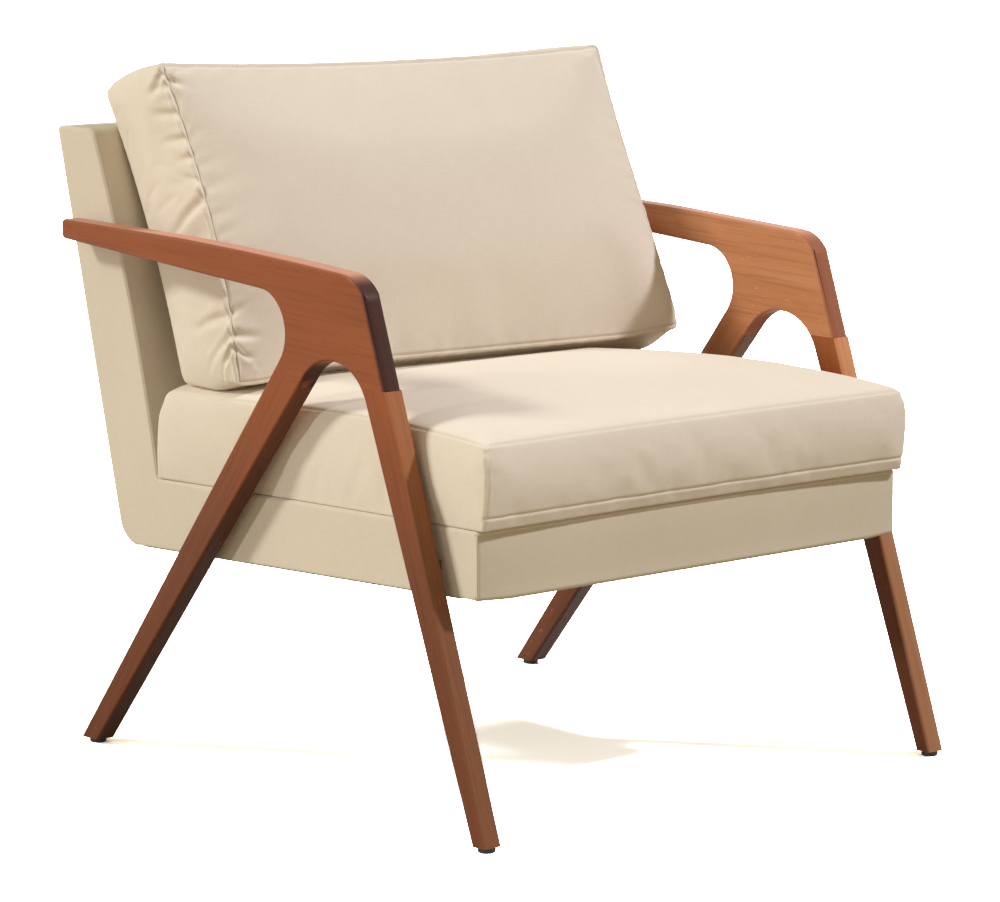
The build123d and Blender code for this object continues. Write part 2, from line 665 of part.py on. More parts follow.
def back_section(station):
    """Side view of the back cushion at one place across its width."""
    crown = BACK_CROWN_EDGE + (BACK_CROWN_MID - BACK_CROWN_EDGE) * swell(station)
    drawn = BACK_TOP_DRAW_IN * swell(station)
    rest = SEAT_FLAT_Z + REST_GAP
    low = (0, BACK_SEAM_LOW_Z)
    high = (BACK_SEAM_HIGH_Y, BACK_SEAM_HIGH_Z - drawn)
    rear_high = (BACK_REAR_TOP_Y, BACK_REAR_TOP_Z - drawn)
    rear_low = (BACK_REAR_LOW_Y, rest)
    under = (BACK_UNDER_Y, rest)
    edges = [arc_between(low, high, crown), arc_between(high, rear_high, BACK_TOP_BULGE),
             Line(rear_high, rear_low), Line(rear_low, under), arc_between(under, low, BACK_UNDER_BULGE)]
    return make_face(Curve() + edges)


def cushion_form(section, width, draw_in):
    """Crowned body through a cushion's sections, with its two ends drawn in."""
    half = width / 2
    body = loft([Plane.YZ.offset(s * half) * section(s) for s in STATIONS])
    box = body.bounding_box()
    depth = box.max.Y - box.min.Y
    radius = depth * depth / (8 * draw_in)
    middle_y = (box.max.Y + box.min.Y) / 2
    for way in (-1, 1):
        centre = (way * (half - draw_in + radius), middle_y, box.min.Z - WADDING)
        body = body - rod(centre, (0, 0, 1), 2 * radius, box.max.Z - box.min.Z + 2 * WADDING)
    return body


def seat_core_face(play):
    """Side view of the seat's foam, or of the space for it with no play."""
    front = SEAT_FRONT_Y + SEAT_DRAW_IN + SEAT_FRONT_BULGE + WADDING + play
    rear = SEAT_REAR_Y - SEAT_REAR_TILT - WADDING - play
    base = REST_GAP + FABRIC + play
    return region((front, deck_z(front) + base), (front, SEAT_SEAM_Z - WADDING - play),
                  (rear, SEAT_REAR_Z - WADDING - play), (rear, deck_z(rear) + base))


def back_core_face(play):
    """Side view of the back's foam, or of the space for it with no play."""
    chord = ((0, BACK_SEAM_LOW_Z), (BACK_SEAM_HIGH_Y, BACK_SEAM_HIGH_Z))
    inset = WADDING * FRONT_SLANT + play
    base = SEAT_FLAT_Z + REST_GAP + FABRIC + play
    top = BACK_REAR_TOP_Z - BACK_TOP_DRAW_IN - WADDING - play
    return region((BACK_UNDER_Y + inset, base), (y_at(*chord, top) + inset, top),
                  (y_at(*BACK_CUSHION_REAR, top) - inset, top),
                  (y_at(*BACK_CUSHION_REAR, base) - inset, base))


def core_and_cover(form, core_face, half):
    """Foam core and the hollow cover of cloth and wadding round it."""
    core = across(core_face(CORE_PLAY), CORE_PLAY - half, half - CORE_PLAY)
    return core, form - across(core_face(0), -half, half)


def seat_cushion():
    """Core, top panel, boxing and bottom panel of the seat cushion."""
    form = cushion_form(seat_section, SEAT_WIDTH, SEAT_SIDE_DRAW_IN)
    core, cover = core_and_cover(form, seat_core_face, SEAT_WIDTH / 2 - SEAT_SIDE_DRAW_IN - WADDING)
    seam_front, seam_rear = (SEAT_FRONT_Y, SEAT_SEAM_Z - FABRIC), (SEAT_REAR_Y, SEAT_REAR_Z - FABRIC)
    upper = region((-FAR, z_at(seam_front, seam_rear, -FAR)), (FAR, z_at(seam_front, seam_rear, FAR)),
                   (FAR, FAR), (-FAR, FAR))
    lower = region((-FAR, deck_z(-FAR) + SEAT_LOWER_SEAM), (FAR, deck_z(FAR) + SEAT_LOWER_SEAM),
                   (FAR, -FAR), (-FAR, -FAR))
    upper, lower = across(upper, -HALF, HALF), across(lower, -HALF, HALF)
    return core, cover & upper, cover - upper - lower, cover & lower


def back_cushion():
    """Core, front panel, boxing and rear panel of the back cushion, in its own frame."""
    form = cushion_form(back_section, BACK_CUSHION_WIDTH, BACK_SIDE_DRAW_IN)
    core, cover = core_and_cover(form, back_core_face, BACK_HALF - BACK_SIDE_DRAW_IN - WADDING)
    low, high = (FABRIC, BACK_SEAM_LOW_Z), (BACK_SEAM_HIGH_Y + FABRIC, BACK_SEAM_HIGH_Z)
    fore = region((y_at(low, high, 0), 0), (y_at(low, high, FAR), FAR), (-FAR, FAR), (-FAR, 0))
    low, high = [(y - BACK_SEAM_REAR_INSET, z) for y, z in BACK_CUSHION_REAR]
    aft = region((y_at(low, high, 0), 0), (y_at(low, high, FAR), FAR), (FAR, FAR), (FAR, 0))
    fore, aft = across(fore, -HALF, HALF), across(aft, -HALF, HALF)
    return core, cover & fore, cover - fore - aft, cover & aft


def placed_back_cushion():
    place = Location((*back_cushion_place(), 0), (0, 0, -BACK_CUSHION_TURN))
    return [place * piece for piece in back_cushion()]


# All pieces by name

def frame_pieces():
    pieces = {}
    arm, front_leg, rear_leg = left_frame()
    dowels = Compound(children=[rod(s, d, DOWEL_DIAMETER, DOWEL_LENGTH) for s, d in leg_dowels()])
    for name, shape in (("arm", arm), ("front_leg", front_leg), ("rear_leg", rear_leg),
                        ("leg_dowels", dowels)):
        pieces["left_" + name] = shape
        pieces["right_" + name] = mirrored(shape)
    discs, nails = glides()
    pieces["floor_glides"] = both_sides(discs)
    pieces["glide_nails"] = both_sides(nails)
    for name, shape in zip(("frame_bolts", "bolt_washers", "threaded_inserts", "frame_spacers"),
                           fastenings()):
        pieces[name] = both_sides(shape)
    return pieces


def shell_pieces():
    profile = shell_profile()
    pieces = skin_covers(profile)
    side_cover = with_bolt_holes(across(profile, -SHELL_HALF, -PANEL_OUT))
    for name, shape in (("side_cover", side_cover), ("base_rail", base_rail()),
                        ("back_post", back_post())):
        pieces["left_" + name] = shape
        pieces["right_" + name] = mirrored(shape)
    pieces["front_rail"], pieces["seat_rear_rail"], pieces["seat_brace"] = seat_rails()
    pieces["back_top_rail"], pieces["back_lower_rail"] = back_rails()
    pieces["corner_blocks"] = corner_blocks()
    pieces["seat_straps_long"], pieces["seat_straps_cross"] = seat_webbing()
    pieces["back_straps"] = back_webbing()
    pieces["deck_pad"] = deck_pad()
    pieces["back_pad"] = back_pad()
    pieces["back_board"] = back_board()
    return pieces


def cushion_pieces():
    names = ("core", "top", "boxing", "bottom")
    pieces = {"seat_cushion_" + n: s for n, s in zip(names, seat_cushion())}
    names = ("core", "front", "boxing", "rear")
    pieces.update({"back_cushion_" + n: s for n, s in zip(names, placed_back_cushion())})
    return pieces


def main():
    pieces = {**frame_pieces(), **shell_pieces(), **cushion_pieces()}
    boxes = [shape.bounding_box() for shape in pieces.values()]
    middle_y = (min(b.min.Y for b in boxes) + max(b.max.Y for b in boxes)) / 2
    print("depth origin moved back by", round(middle_y, 3))
    os.makedirs("parts", exist_ok=True)
    for name, shape in pieces.items():
        solids = [s.moved(Location((0, -middle_y, 0))) for s in shape.solids()]
        export_step(Compound(children=solids), os.path.join("parts", name + ".step"))


main()
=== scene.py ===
"""Looks of the accent armchair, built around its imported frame.

Metres, in the frame of the CAD model: the chair faces -Y, +X is on the right
of a person who stands in front of it, and +Z is up.
"""
import math
import random

import bmesh
import bpy
import numpy as np
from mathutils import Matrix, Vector


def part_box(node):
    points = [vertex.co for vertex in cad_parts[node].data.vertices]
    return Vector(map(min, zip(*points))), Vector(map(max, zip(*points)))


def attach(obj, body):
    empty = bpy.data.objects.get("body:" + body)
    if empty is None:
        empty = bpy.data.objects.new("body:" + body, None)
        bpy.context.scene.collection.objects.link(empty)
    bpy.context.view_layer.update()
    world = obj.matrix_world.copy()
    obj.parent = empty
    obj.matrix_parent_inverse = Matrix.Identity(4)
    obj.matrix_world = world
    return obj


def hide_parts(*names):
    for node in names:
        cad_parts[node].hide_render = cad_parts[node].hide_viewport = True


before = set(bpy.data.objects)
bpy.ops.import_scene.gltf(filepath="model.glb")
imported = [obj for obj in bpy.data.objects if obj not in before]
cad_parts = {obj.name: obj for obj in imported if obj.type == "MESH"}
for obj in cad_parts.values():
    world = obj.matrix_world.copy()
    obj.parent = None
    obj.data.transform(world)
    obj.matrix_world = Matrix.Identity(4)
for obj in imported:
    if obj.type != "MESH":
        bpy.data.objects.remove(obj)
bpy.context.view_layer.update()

MM = 0.001
# Points of a node closer than this are one
WELD = 1e-5

# Camera that took the photograph
CAMERA_PLACE = (-3.1171, -3.5673, 1.0851)
CAMERA_TURN_DEG = (81.093, 0.0, -41.330)
CAMERA_LENS = 149.99
CAMERA_SENSOR = 36.0

# Suns, as (direction of the light's source, strength, angle in degrees, colour)
SUNS = {
    "key": ((-0.67, 0.44, 0.60), 1.6, 10.0, (1.0, 1.0, 0.94)),
    "low": ((-0.95, 0.28, 0.20), 0.65, 3.0, (1.0, 0.98, 0.94)),
    "right": ((0.50, -0.45, 0.66), 2.15, 5.0, (1.0, 1.01, 1.10)),
}
# Soft lamps, as (place, power)
SOFT_LAMPS = {
    "left_lamp": ((-4.0, -0.8, 1.7), 12.0),
    "front_lamp": ((-1.6, -4.2, 2.4), 10.0),
}
LAMP_SIZE = 2.6
LAMP_AIM = (0.0, 0.0, 0.45)
SKY_COLOUR = (0.26, 0.225, 0.15)
FLOOR_SEEN = (5.0, 5.0, 5.2)
FLOOR_BOUNCE = (0.42, 0.35, 0.25)
FLOOR_SIZE = 80.0

# Linen: colours, factors on them for each piece, and the weave
LINEN_PALE = (0.81, 0.728, 0.615)
LINEN_DEEP = (0.76, 0.674, 0.56)
CUSHION_SHADE = (1.0, 1.0, 1.0)
# The shell's cloth is painted a little darker all over: painted shade for its shaded inner back,
# which darkens its lit sides too.
SHELL_PAINTED_SHADE = (0.90, 0.89, 0.86)
# The base's front panel is painted darker still: painted shade, as under the seat cushion's
# overhang.
BASE_FRONT_PAINTED_SHADE = (0.80, 0.79, 0.71)
THREAD_PITCH = 0.0011
# Noise scales across and along a thread
SLUB_SCALES = (900, 60)
CLOUD_SCALE = 7.0
# Weights of slubs, clouds and weave in the tone, and the tones of the two colours
LINEN_WEIGHTS = (0.7, 0.3, 0.03)
LINEN_TONES = (0.38, 0.58)
LINEN_ROUGHNESS = 0.9
LINEN_SPECULAR = 0.2
LINEN_SHEEN = 0.08
LINEN_SHEEN_ROUGHNESS = 0.5
LINEN_WEAVE_HEIGHT = 0.35
LINEN_BUMP = 0.22
BUMP_DISTANCE = 0.0003

# Wood: colours of the faces, of the cut ends and of level tops, the last a painted highlight
WOOD_LIGHT = (0.305, 0.082, 0.020)
WOOD_MID = (0.25, 0.062, 0.013)
WOOD_END = (0.060, 0.022, 0.016)
# The right arm's lighter cut end is painted light on the same end grain as the left one.
WOOD_END_RIGHT_PAINTED_LIGHT = (0.36, 0.13, 0.07)
# Level tops take a lighter colour: a painted highlight.
WOOD_TOP_HIGHLIGHT = (0.62, 0.28, 0.18)
# Factors on them, which follow the photo and partly stand for its light
ARM_SHADE = (1.0, 1.0, 1.0)
LEG_SHADE = (0.56, 0.58, 0.62)
# The right arm and the top of its rear leg are lighter and paler: partly a lighter board, partly
# painted light.
RIGHT_ARM_TONE_AND_PAINTED_LIGHT = (1.7, 2.7, 5.2)
# Factors on the faces of the legs that look forward: painted light on the front legs, painted
# shade on the rear legs.
LEFT_LEG_FRONT_PAINTED_LIGHT = (1.4, 1.9, 2.8)
RIGHT_LEG_FRONT_PAINTED_LIGHT = (2.4, 3.9, 7.0)
REAR_LEG_FRONT_PAINTED_SHADE = (0.5, 0.5, 0.5)
# Heights between which a leg takes on the colour of the arm
LEG_BLEND_Z = (0.27, 0.455)
# Angle of the grain from +Y towards +Z in the arm, the front leg and the rear leg
GRAIN_DEG = (2.7, 71.0, -54.5)
# Noise scales across, along and across the grain
STREAK_SCALES = (60, 2.2, 60)
BROAD_SCALES = (9, 1.2, 9)
PORE_SCALES = (420, 9, 420)
FLECK_SCALES = (500, 90, 500)
STREAK_WEIGHTS = (0.6, 0.4)
WOOD_TONES = (0.34, 0.62)
PORE_TONES = (0.34, 0.47)
PORE_DARK = 0.82
FLECK_TONES = (0.70, 0.78)
FLECK_MOST = 0.5
FLECK_GAIN = 1.5
# Parts of a face's normal, forward, up and along the grain, between which its colour changes
# to that of a front (painted light and shade), a top (a painted highlight) and a cut end
FORWARD_PAINTED_LIGHT_RANGE = (0.3, 0.7)
TOP_HIGHLIGHT_RANGE = (0.6, 0.95)
TOP_HIGHLIGHT_MOST = 0.85
END_RANGE = (0.18, 0.6)
ROUGH_TONES = (0.3, 0.6)
WOOD_ROUGHNESS = (0.50, 0.38)
END_ROUGHNESS = 0.8
WOOD_SPECULAR = 0.20
WOOD_COAT = 0.06
WOOD_COAT_ROUGHNESS = 0.22
WOOD_BUMP = 0.10
WOOD_EDGE_ROUND = 0.0013
WOOD_EDGE_SEGMENTS = 3
# Faces of the CAD solids within this angle become one, and edges between these
# angles are rounded off
MERGED_FACE_DEG = 1.0
EASED_EDGE_DEG = (28, 62)
SHARP_EDGE_DEG = 40

# Other materials, as colour, contrast, grain scales and roughness
PLAIN_MATERIALS = {
    "dowel_wood": ((0.50, 0.32, 0.17), 0.3, (90, 90, 20), 0.6),
    "plywood": ((0.55, 0.40, 0.24), 0.35, (60, 60, 60), 0.7),
    "hardboard": ((0.20, 0.12, 0.06), 0.3, (200, 200, 200), 0.75),
    "webbing": ((0.09, 0.06, 0.04), 0.5, (400, 400, 400), 0.85),
    "black_plastic": ((0.016, 0.014, 0.013), 0.3, (500, 500, 500), 0.5),
    "brown_plastic": ((0.16, 0.10, 0.06), 0.3, (500, 500, 500), 0.5),
}
DUST_CLOTH = ((0.012, 0.012, 0.012), 0.4, (700, 700, 700), 0.9)
PLAIN_TONES = (0.35, 0.6)
PLAIN_BUMP = 0.2
# Metals, as colour and roughness
METALS = {
    "zinc_steel": ((0.62, 0.62, 0.64), 0.35),
    "brass": ((0.70, 0.55, 0.26), 0.35),
}
METAL_TONES = (0.3, 0.7)
METAL_DEEP = 0.8
METAL_SPECKLE = 900.0
# Nodes that no piece replaces, by the material they get
DRESSED = {
    "dowel_wood": ["left_leg_dowels", "right_leg_dowels"],
    "plywood": ["left_base_rail", "right_base_rail", "left_back_post", "right_back_post",
                "front_rail", "seat_rear_rail", "seat_brace", "back_top_rail", "back_lower_rail",
                "corner_blocks"],
    "hardboard": ["back_board"],
    "webbing": ["seat_straps_long", "seat_straps_cross", "back_straps"],
    "black_plastic": ["floor_glides"],
    "brown_plastic": ["frame_spacers"],
    "zinc_steel": ["frame_bolts", "bolt_washers", "glide_nails"],
    "brass": ["threaded_inserts"],
}

# Shell seams: steps from the open panel down into the seam, as
# (distance from the edge, depth below the face)
SEAM_STEPS_MM = ((5.0, 0.0), (2.6, 0.3), (1.6, 1.0), (1.5, 2.0), (2.2, 2.4))
SHELL_STEP = 0.014
BAND_COLUMNS = 9
BAND_END_SUNK = 0.0012
DUST_COVER_INSET = 0.016
BASE_FRONT_BULGE = 0.0035
BULGE_FADE = 0.045
# A node's face is flat on its side if it looks along X and lies this close to its end
FLAT_NORMAL = 0.9
FLAT_OFF = 1e-4

# Both cushions. Gap to what they rest on, and the cloth that is inflated
CLEARANCE = 0.0004
SIMULATION_STEPS = 14
RELAX_STEP = 0.5
CLOTH_SETTINGS = {
    "quality": 4,
    "mass": 0.3,
    "tension_stiffness": 20,
    "compression_stiffness": 20,
    "shear_stiffness": 8,
    "bending_stiffness": 2.0,
    "use_pressure": True,
    "pin_stiffness": 1.0,
}
# Ridge beside a seam and groove in it
SEAM_RIDGE_AT = 0.0032
SEAM_RIDGE_WIDTH = 0.0016
SEAM_GROOVE_WIDTH = 0.0012
# Extra lattice rows around a seam, and how far they keep the others off
SEAM_ROWS = (-0.0045, -0.0025, -0.001, 0.0, 0.001, 0.0025, 0.0045)
SEAM_ROWS_CLEAR = 0.006

# Folds. Distance from a seam over which they grow to their full depth, share of
# it that they start with, and the banks on both sides of each
FOLD_START = 0.0035
FOLD_AT_SEAM = 0.15
FOLD_BANK = 0.55
FOLD_BANK_WIDTH = 2.4

# Seat cushion
SEAT_FRONT_DRAW_IN = 0.006
SEAT_SIDE_DRAW_IN = 0.005
SEAT_CROWN_EDGE = 0.007
SEAT_CROWN_MID = 0.022
SEAT_SEAM_Z = 0.424
SEAT_FLAT_FROM = 0.032
SEAT_FLAT_Z = 0.427
SEAT_REAR_Z = 0.422
SEAT_REAR_LEAN = 0.010
SEAT_UNDERCUT = 0.004
SEAT_FRONT_BOW = 0.004
SEAT_LOWER_SEAM_UP = 0.0145
# Lattice steps, as (step, border, step in the border)
SEAT_SPACING = (0.009, 0.012, 0.0025)
SEAT_ROW_SPACING = (0.005, 0.009, 0.0025)
# Lift of the panels off their seams, as (rise, spread)
SEAT_PUFF = (0.004, 0.020)
SEAT_FRONT_PUFF = (0.005, 0.020)
# Inflation, as (pressure, slack, longest move), and the pin weight of the seams
SEAT_BLOW = (2.5, 0.002, 0.012)
SEAT_RIM_HOLD = 0.8
# Rounded edges, as (reach, turns), and seams, as (ridge, groove)
SEAT_EDGE_ROUND = (0.026, 40)
SEAT_TOP_SEAM = (0.0003, 0.0012)
SEAT_LOWER_SEAM = (0.0002, 0.0016)
SEAT_CORNER_SEAM = (0.0005, 0.0014)
# Small folds at the corners, as (seed, length, spacing, reach, depth)
SEAT_PUCKERS = (11, 0.045, 0.011, 0.020, 0.0022)

# Back cushion, in its own turned frame: Y from its lower front seam
BACK_TURN_DEG = -5.7
BACK_PLACE = (-0.0044, 0.0338)
BACK_WIDTH = 0.614
BACK_SEAM_LOW_Z = 0.455
BACK_SEAM_HIGH_Y = 0.157
BACK_SEAM_HIGH_Z = 0.788
BACK_REAR_TOP_Y = 0.284
BACK_REAR_TOP_Z = 0.752
BACK_REAR_LOW_Y = 0.118
BACK_UNDER_Y = 0.043
BACK_UNDER_BOW = 0.004
BACK_UNDER_SHARE = 0.35
BACK_CROWN_EDGE = 0.010
BACK_CROWN_MID = 0.034
BACK_BELLY = 0.4
BACK_TOP_DRAW_IN = 0.008
BACK_SIDE_DRAW_IN = 0.009
BACK_TOP_BULGE = 0.007
# Ends of the lower front seam, as (start, run) in half widths: the left one droops,
# the right one lifts and comes forward
BACK_LEFT_END = (0.55, 0.45)
BACK_RIGHT_END = (0.7, 0.3)
BACK_LEFT_DROOP = 0.016
BACK_RIGHT_LIFT = 0.006
BACK_RIGHT_PULL = 0.010
# Depth and height along the cloth, and lattice steps as in the seat cushion
BACK_DEPTH = 0.135
BACK_HEIGHT = 0.36
BACK_SPACINGS = ((0.008, 0.012, 0.0015), (0.0045, 0.012, 0.0013), (0.0030, 0.012, 0.0020))
# Lift of the panels, inflation, rounding and seams as in the seat cushion
BACK_FRONT_PUFF = (0.010, 0.022)
BACK_SIDE_PUFF = (0.011, 0.016)
BACK_TOP_PUFF = (0.004, 0.016)
BACK_BLOW = (3.0, 0.004, 0.014)
BACK_RIM_HOLD = 0.7
BACK_UNDER_FREE = 0.006
BACK_LOW_CORNER_ROUND = (0.04, 60)
BACK_REAR_CORNER_ROUND = (0.03, 16)
# Evening out of the front panel, as (distance from its seams, run, turns)
BACK_PANEL_EVEN = (0.012, 0.02, 14)
BACK_BOXING_SEAM = (0.0020, 0.0)
BACK_PANEL_SEAM = (0.0, 0.0026)
BACK_PANEL_SEAM_IN = 0.0015
# Small folds along the front seam, as (spacing, reach, depth), and their seeds at both ends
BACK_PUCKERS = (0.016, 0.022, 0.0016)
BACK_PUCKER_SEEDS = (3, 5)

# Folds in the left boxing of the back cushion, from its front seam:
# (height along the seam, reach, depth, half width, slant)
LEFT_FOLDS = (
    (0.350, 0.040, 0.0095, 0.0048, -0.8),
    (0.336, 0.045, 0.0090, 0.0050, -0.2),
    (0.302, 0.050, 0.0085, 0.0052, 0.1),
    (0.273, 0.045, 0.0080, 0.0050, 0.0),
    (0.252, 0.026, 0.0060, 0.0042, -0.1),
    (0.226, 0.034, 0.0060, 0.0044, 0.3),
    (0.205, 0.085, 0.0100, 0.0062, -0.55),
    (0.120, 0.045, 0.0065, 0.0048, 0.5),
    (0.098, 0.030, 0.0060, 0.0044, 0.0),
    (0.074, 0.080, 0.0085, 0.0055, -0.1),
    (0.054, 0.055, 0.0095, 0.0048, -0.7),
    (0.044, 0.045, 0.0090, 0.0040, -1.6),
)
# The same in the front panel, from its left seam
FRONT_FOLDS = (
    (0.344, 0.030, 0.0065, 0.0044, -0.7),
    (0.128, 0.035, 0.0045, 0.0050, 0.3),
    (0.078, 0.045, 0.0060, 0.0048, 0.4),
    (0.056, 0.040, 0.0080, 0.0046, -0.3),
    (0.044, 0.036, 0.0080, 0.0040, -1.3),
)


# Small helpers

def smooth(t):
    t = np.clip(t, 0.0, 1.0)
    return t * t * (3.0 - 2.0 * t)


def mesh_object(name, verts, faces):
    mesh = bpy.data.meshes.new(name)
    mesh.from_pydata([tuple(v) for v in verts], [], faces)
    mesh.validate()
    obj = bpy.data.objects.new(name, mesh)
    bpy.context.scene.collection.objects.link(obj)
    mesh.polygons.foreach_set("use_smooth", [True] * len(mesh.polygons))
    return obj


def coordinates(obj):
    co = np.zeros(len(obj.data.vertices) * 3)
    obj.data.vertices.foreach_get("co", co)
    return co.reshape(-1, 3)


def set_coordinates(obj, co):
    obj.data.vertices.foreach_set("co", np.asarray(co, np.float32).ravel())
    obj.data.update()


def normals(obj):
    obj.data.update()
    no = np.zeros(len(obj.data.vertices) * 3)
    obj.data.vertex_normals.foreach_get("vector", no)
    return no.reshape(-1, 3)


def welded(node):
    """Editable copy of a node's mesh with its points joined."""
    bm = bmesh.new()
    bm.from_mesh(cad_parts[node].data)
    bmesh.ops.remove_doubles(bm, verts=bm.verts, dist=WELD)
    return bm


def even_shading(obj):
    obj.modifiers.new("even_shading", "WEIGHTED_NORMAL").keep_sharp = True


def finish_piece(obj, body, material, nodes):
    obj.data.materials.clear()
    obj.data.materials.append(material)
    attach(obj, body)
    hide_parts(*nodes)


# Materials

def grey(value):
    return (value, value, value)


def tinted(shade, colour):
    return tuple(s * c for s, c in zip(shade, colour))


class Graph:
    """Node tree of one new material."""

    def __init__(self, name):
        self.material = bpy.data.materials.new(name)
        self.material.use_nodes = True
        self.nodes = self.material.node_tree.nodes
        self.links = self.material.node_tree.links
        self.shader = self.nodes["Principled BSDF"]

    def add(self, kind, inputs=None, **settings):
        node = self.nodes.new(kind)
        for key, value in settings.items():
            setattr(node, key, value)
        for key, value in (inputs or {}).items():
            self.feed(node.inputs[key], value)
        return node

    def feed(self, socket, value):
        if isinstance(value, bpy.types.NodeSocket):
            self.links.new(value, socket)
        else:
            socket.default_value = value

    def math(self, operation, a, b=0.0):
        node = self.add("ShaderNodeMath", {0: a, 1: b}, operation=operation)
        return node.outputs[0]

    def weighted(self, values, weights):
        """Sum of values times their weights."""
        total = 0.0
        for value, weight in zip(values, weights):
            total = self.math("ADD", self.math("MULTIPLY", value, weight), total)
        return total

    def axes(self, vector):
        return self.add("ShaderNodeSeparateXYZ", {0: vector}).outputs

    def mapped(self, source, scale, rotation=(0, 0, 0)):
        inputs = {"Vector": source, "Scale": scale, "Rotation": rotation}
        return self.add("ShaderNodeMapping", inputs).outputs[0]

    def noise(self, vector, scale, detail, roughness=0.55):
        inputs = {"Vector": vector, "Scale": scale, "Detail": detail, "Roughness": roughness}
        return self.add("ShaderNodeTexNoise", inputs).outputs["Fac"]

    def stretched_noise(self, vector, scales, detail):
        return self.noise(self.mapped(vector, scales), 1.0, detail)

    def ramp(self, value, places, colours):
        """First colour below the first place, second above the second, blended between."""
        node = self.add("ShaderNodeValToRGB", {"Fac": value})
        for element, place, colour in zip(node.color_ramp.elements, places, colours):
            element.position = place
            element.color = (*colour, 1.0)
        return node.outputs["Color"]

    def mask(self, value, places, most=1.0):
        return self.ramp(value, places, (grey(0.0), grey(most)))

    def mix(self, factor, a, b, blend="MIX"):
        node = self.add("ShaderNodeMix", data_type="RGBA", blend_type=blend)
        self.feed(node.inputs["Factor"], factor)
        self.feed(node.inputs["A"], a)
        self.feed(node.inputs["B"], b)
        return node.outputs["Result"]

    def times(self, a, b):
        return self.mix(1.0, a, b, "MULTIPLY")

    def bump(self, height, strength):
        inputs = {"Height": height, "Strength": strength, "Distance": BUMP_DISTANCE}
        normal = self.add("ShaderNodeBump", inputs).outputs["Normal"]
        self.feed(self.shader.inputs["Normal"], normal)


def linen(name, shade):
    """Plain-woven upholstery cloth, on panel coordinates in metres; shade scales its colours."""
    g = Graph(name)
    cloth = g.add("ShaderNodeUVMap", uv_map="cloth").outputs[0]
    place = g.add("ShaderNodeTexCoord").outputs["Object"]
    threads = g.axes(cloth)
    turns = 2 * math.pi / THREAD_PITCH
    warp, weft = [g.math("SINE", g.math("MULTIPLY", threads[i], turns)) for i in (0, 1)]
    weave = g.math("MULTIPLY", warp, weft)
    across, along = SLUB_SCALES
    slub_across = g.stretched_noise(cloth, (across, along, 1), 2.0)
    slub_along = g.stretched_noise(cloth, (along, across, 1), 2.0)
    slubs = g.math("MULTIPLY", g.math("ADD", slub_across, slub_along), 0.5)
    clouds = g.noise(place, CLOUD_SCALE, 3.0)
    tone = g.weighted((slubs, clouds, weave), LINEN_WEIGHTS)
    colour = g.ramp(tone, LINEN_TONES, (tinted(shade, LINEN_DEEP), tinted(shade, LINEN_PALE)))
    g.feed(g.shader.inputs["Base Color"], colour)
    g.shader.inputs["Roughness"].default_value = LINEN_ROUGHNESS
    g.shader.inputs["Specular IOR Level"].default_value = LINEN_SPECULAR
    g.shader.inputs["Sheen Weight"].default_value = LINEN_SHEEN
    g.shader.inputs["Sheen Roughness"].default_value = LINEN_SHEEN_ROUGHNESS
    g.bump(g.math("ADD", g.math("MULTIPLY", weave, LINEN_WEAVE_HEIGHT), slubs), LINEN_BUMP)
    return g.material


def stained(g, turned, pores, shade):
    """Streaked colour of the stained wood, darker in its pores."""
    streaks = g.stretched_noise(turned, STREAK_SCALES, 4.0)
    broad = g.stretched_noise(turned, BROAD_SCALES, 2.0)
    tone = g.weighted((streaks, broad), STREAK_WEIGHTS)
    colour = g.ramp(tone, WOOD_TONES, (tinted(shade, WOOD_MID), tinted(shade, WOOD_LIGHT)))
    return g.times(colour, g.ramp(pores, PORE_TONES, (grey(PORE_DARK), grey(1.0))))


def shaded(g, colour, source, low_shade, front_painted_light):
    """Colour changed towards the floor, with painted light and shade on faces that look forward
    and a painted highlight on level tops.
    """
    height = g.axes(source["Object"])[2]
    colour = g.times(colour, g.ramp(height, LEG_BLEND_Z, (low_shade, grey(1.0))))
    facing = g.axes(source["Normal"])
    forward = g.math("MULTIPLY", facing[1], -1.0)
    colour = g.times(colour, g.ramp(forward, FORWARD_PAINTED_LIGHT_RANGE, (grey(1.0), front_painted_light)))
    return g.mix(g.mask(facing[2], TOP_HIGHLIGHT_RANGE, TOP_HIGHLIGHT_MOST), colour, (*WOOD_TOP_HIGHLIGHT, 1.0))


def flecked(g, colour, turned, shade):
    """Colour with small pale flecks along the grain."""
    flecks = g.stretched_noise(turned, FLECK_SCALES, 1.0)
    pale = tinted(grey(FLECK_GAIN), tinted(shade, WOOD_LIGHT))
    return g.mix(g.mask(flecks, FLECK_TONES, FLECK_MOST), colour, (*pale, 1.0))


def cut_ends(g, normal, along):
    """Mask of the faces that cut across the grain."""
    grain = (0.0, math.cos(along), math.sin(along))
    facing = g.add("ShaderNodeVectorMath", {0: normal, 1: grain}, operation="DOT_PRODUCT")
    return g.mask(g.math("ABSOLUTE", facing.outputs["Value"]), END_RANGE)


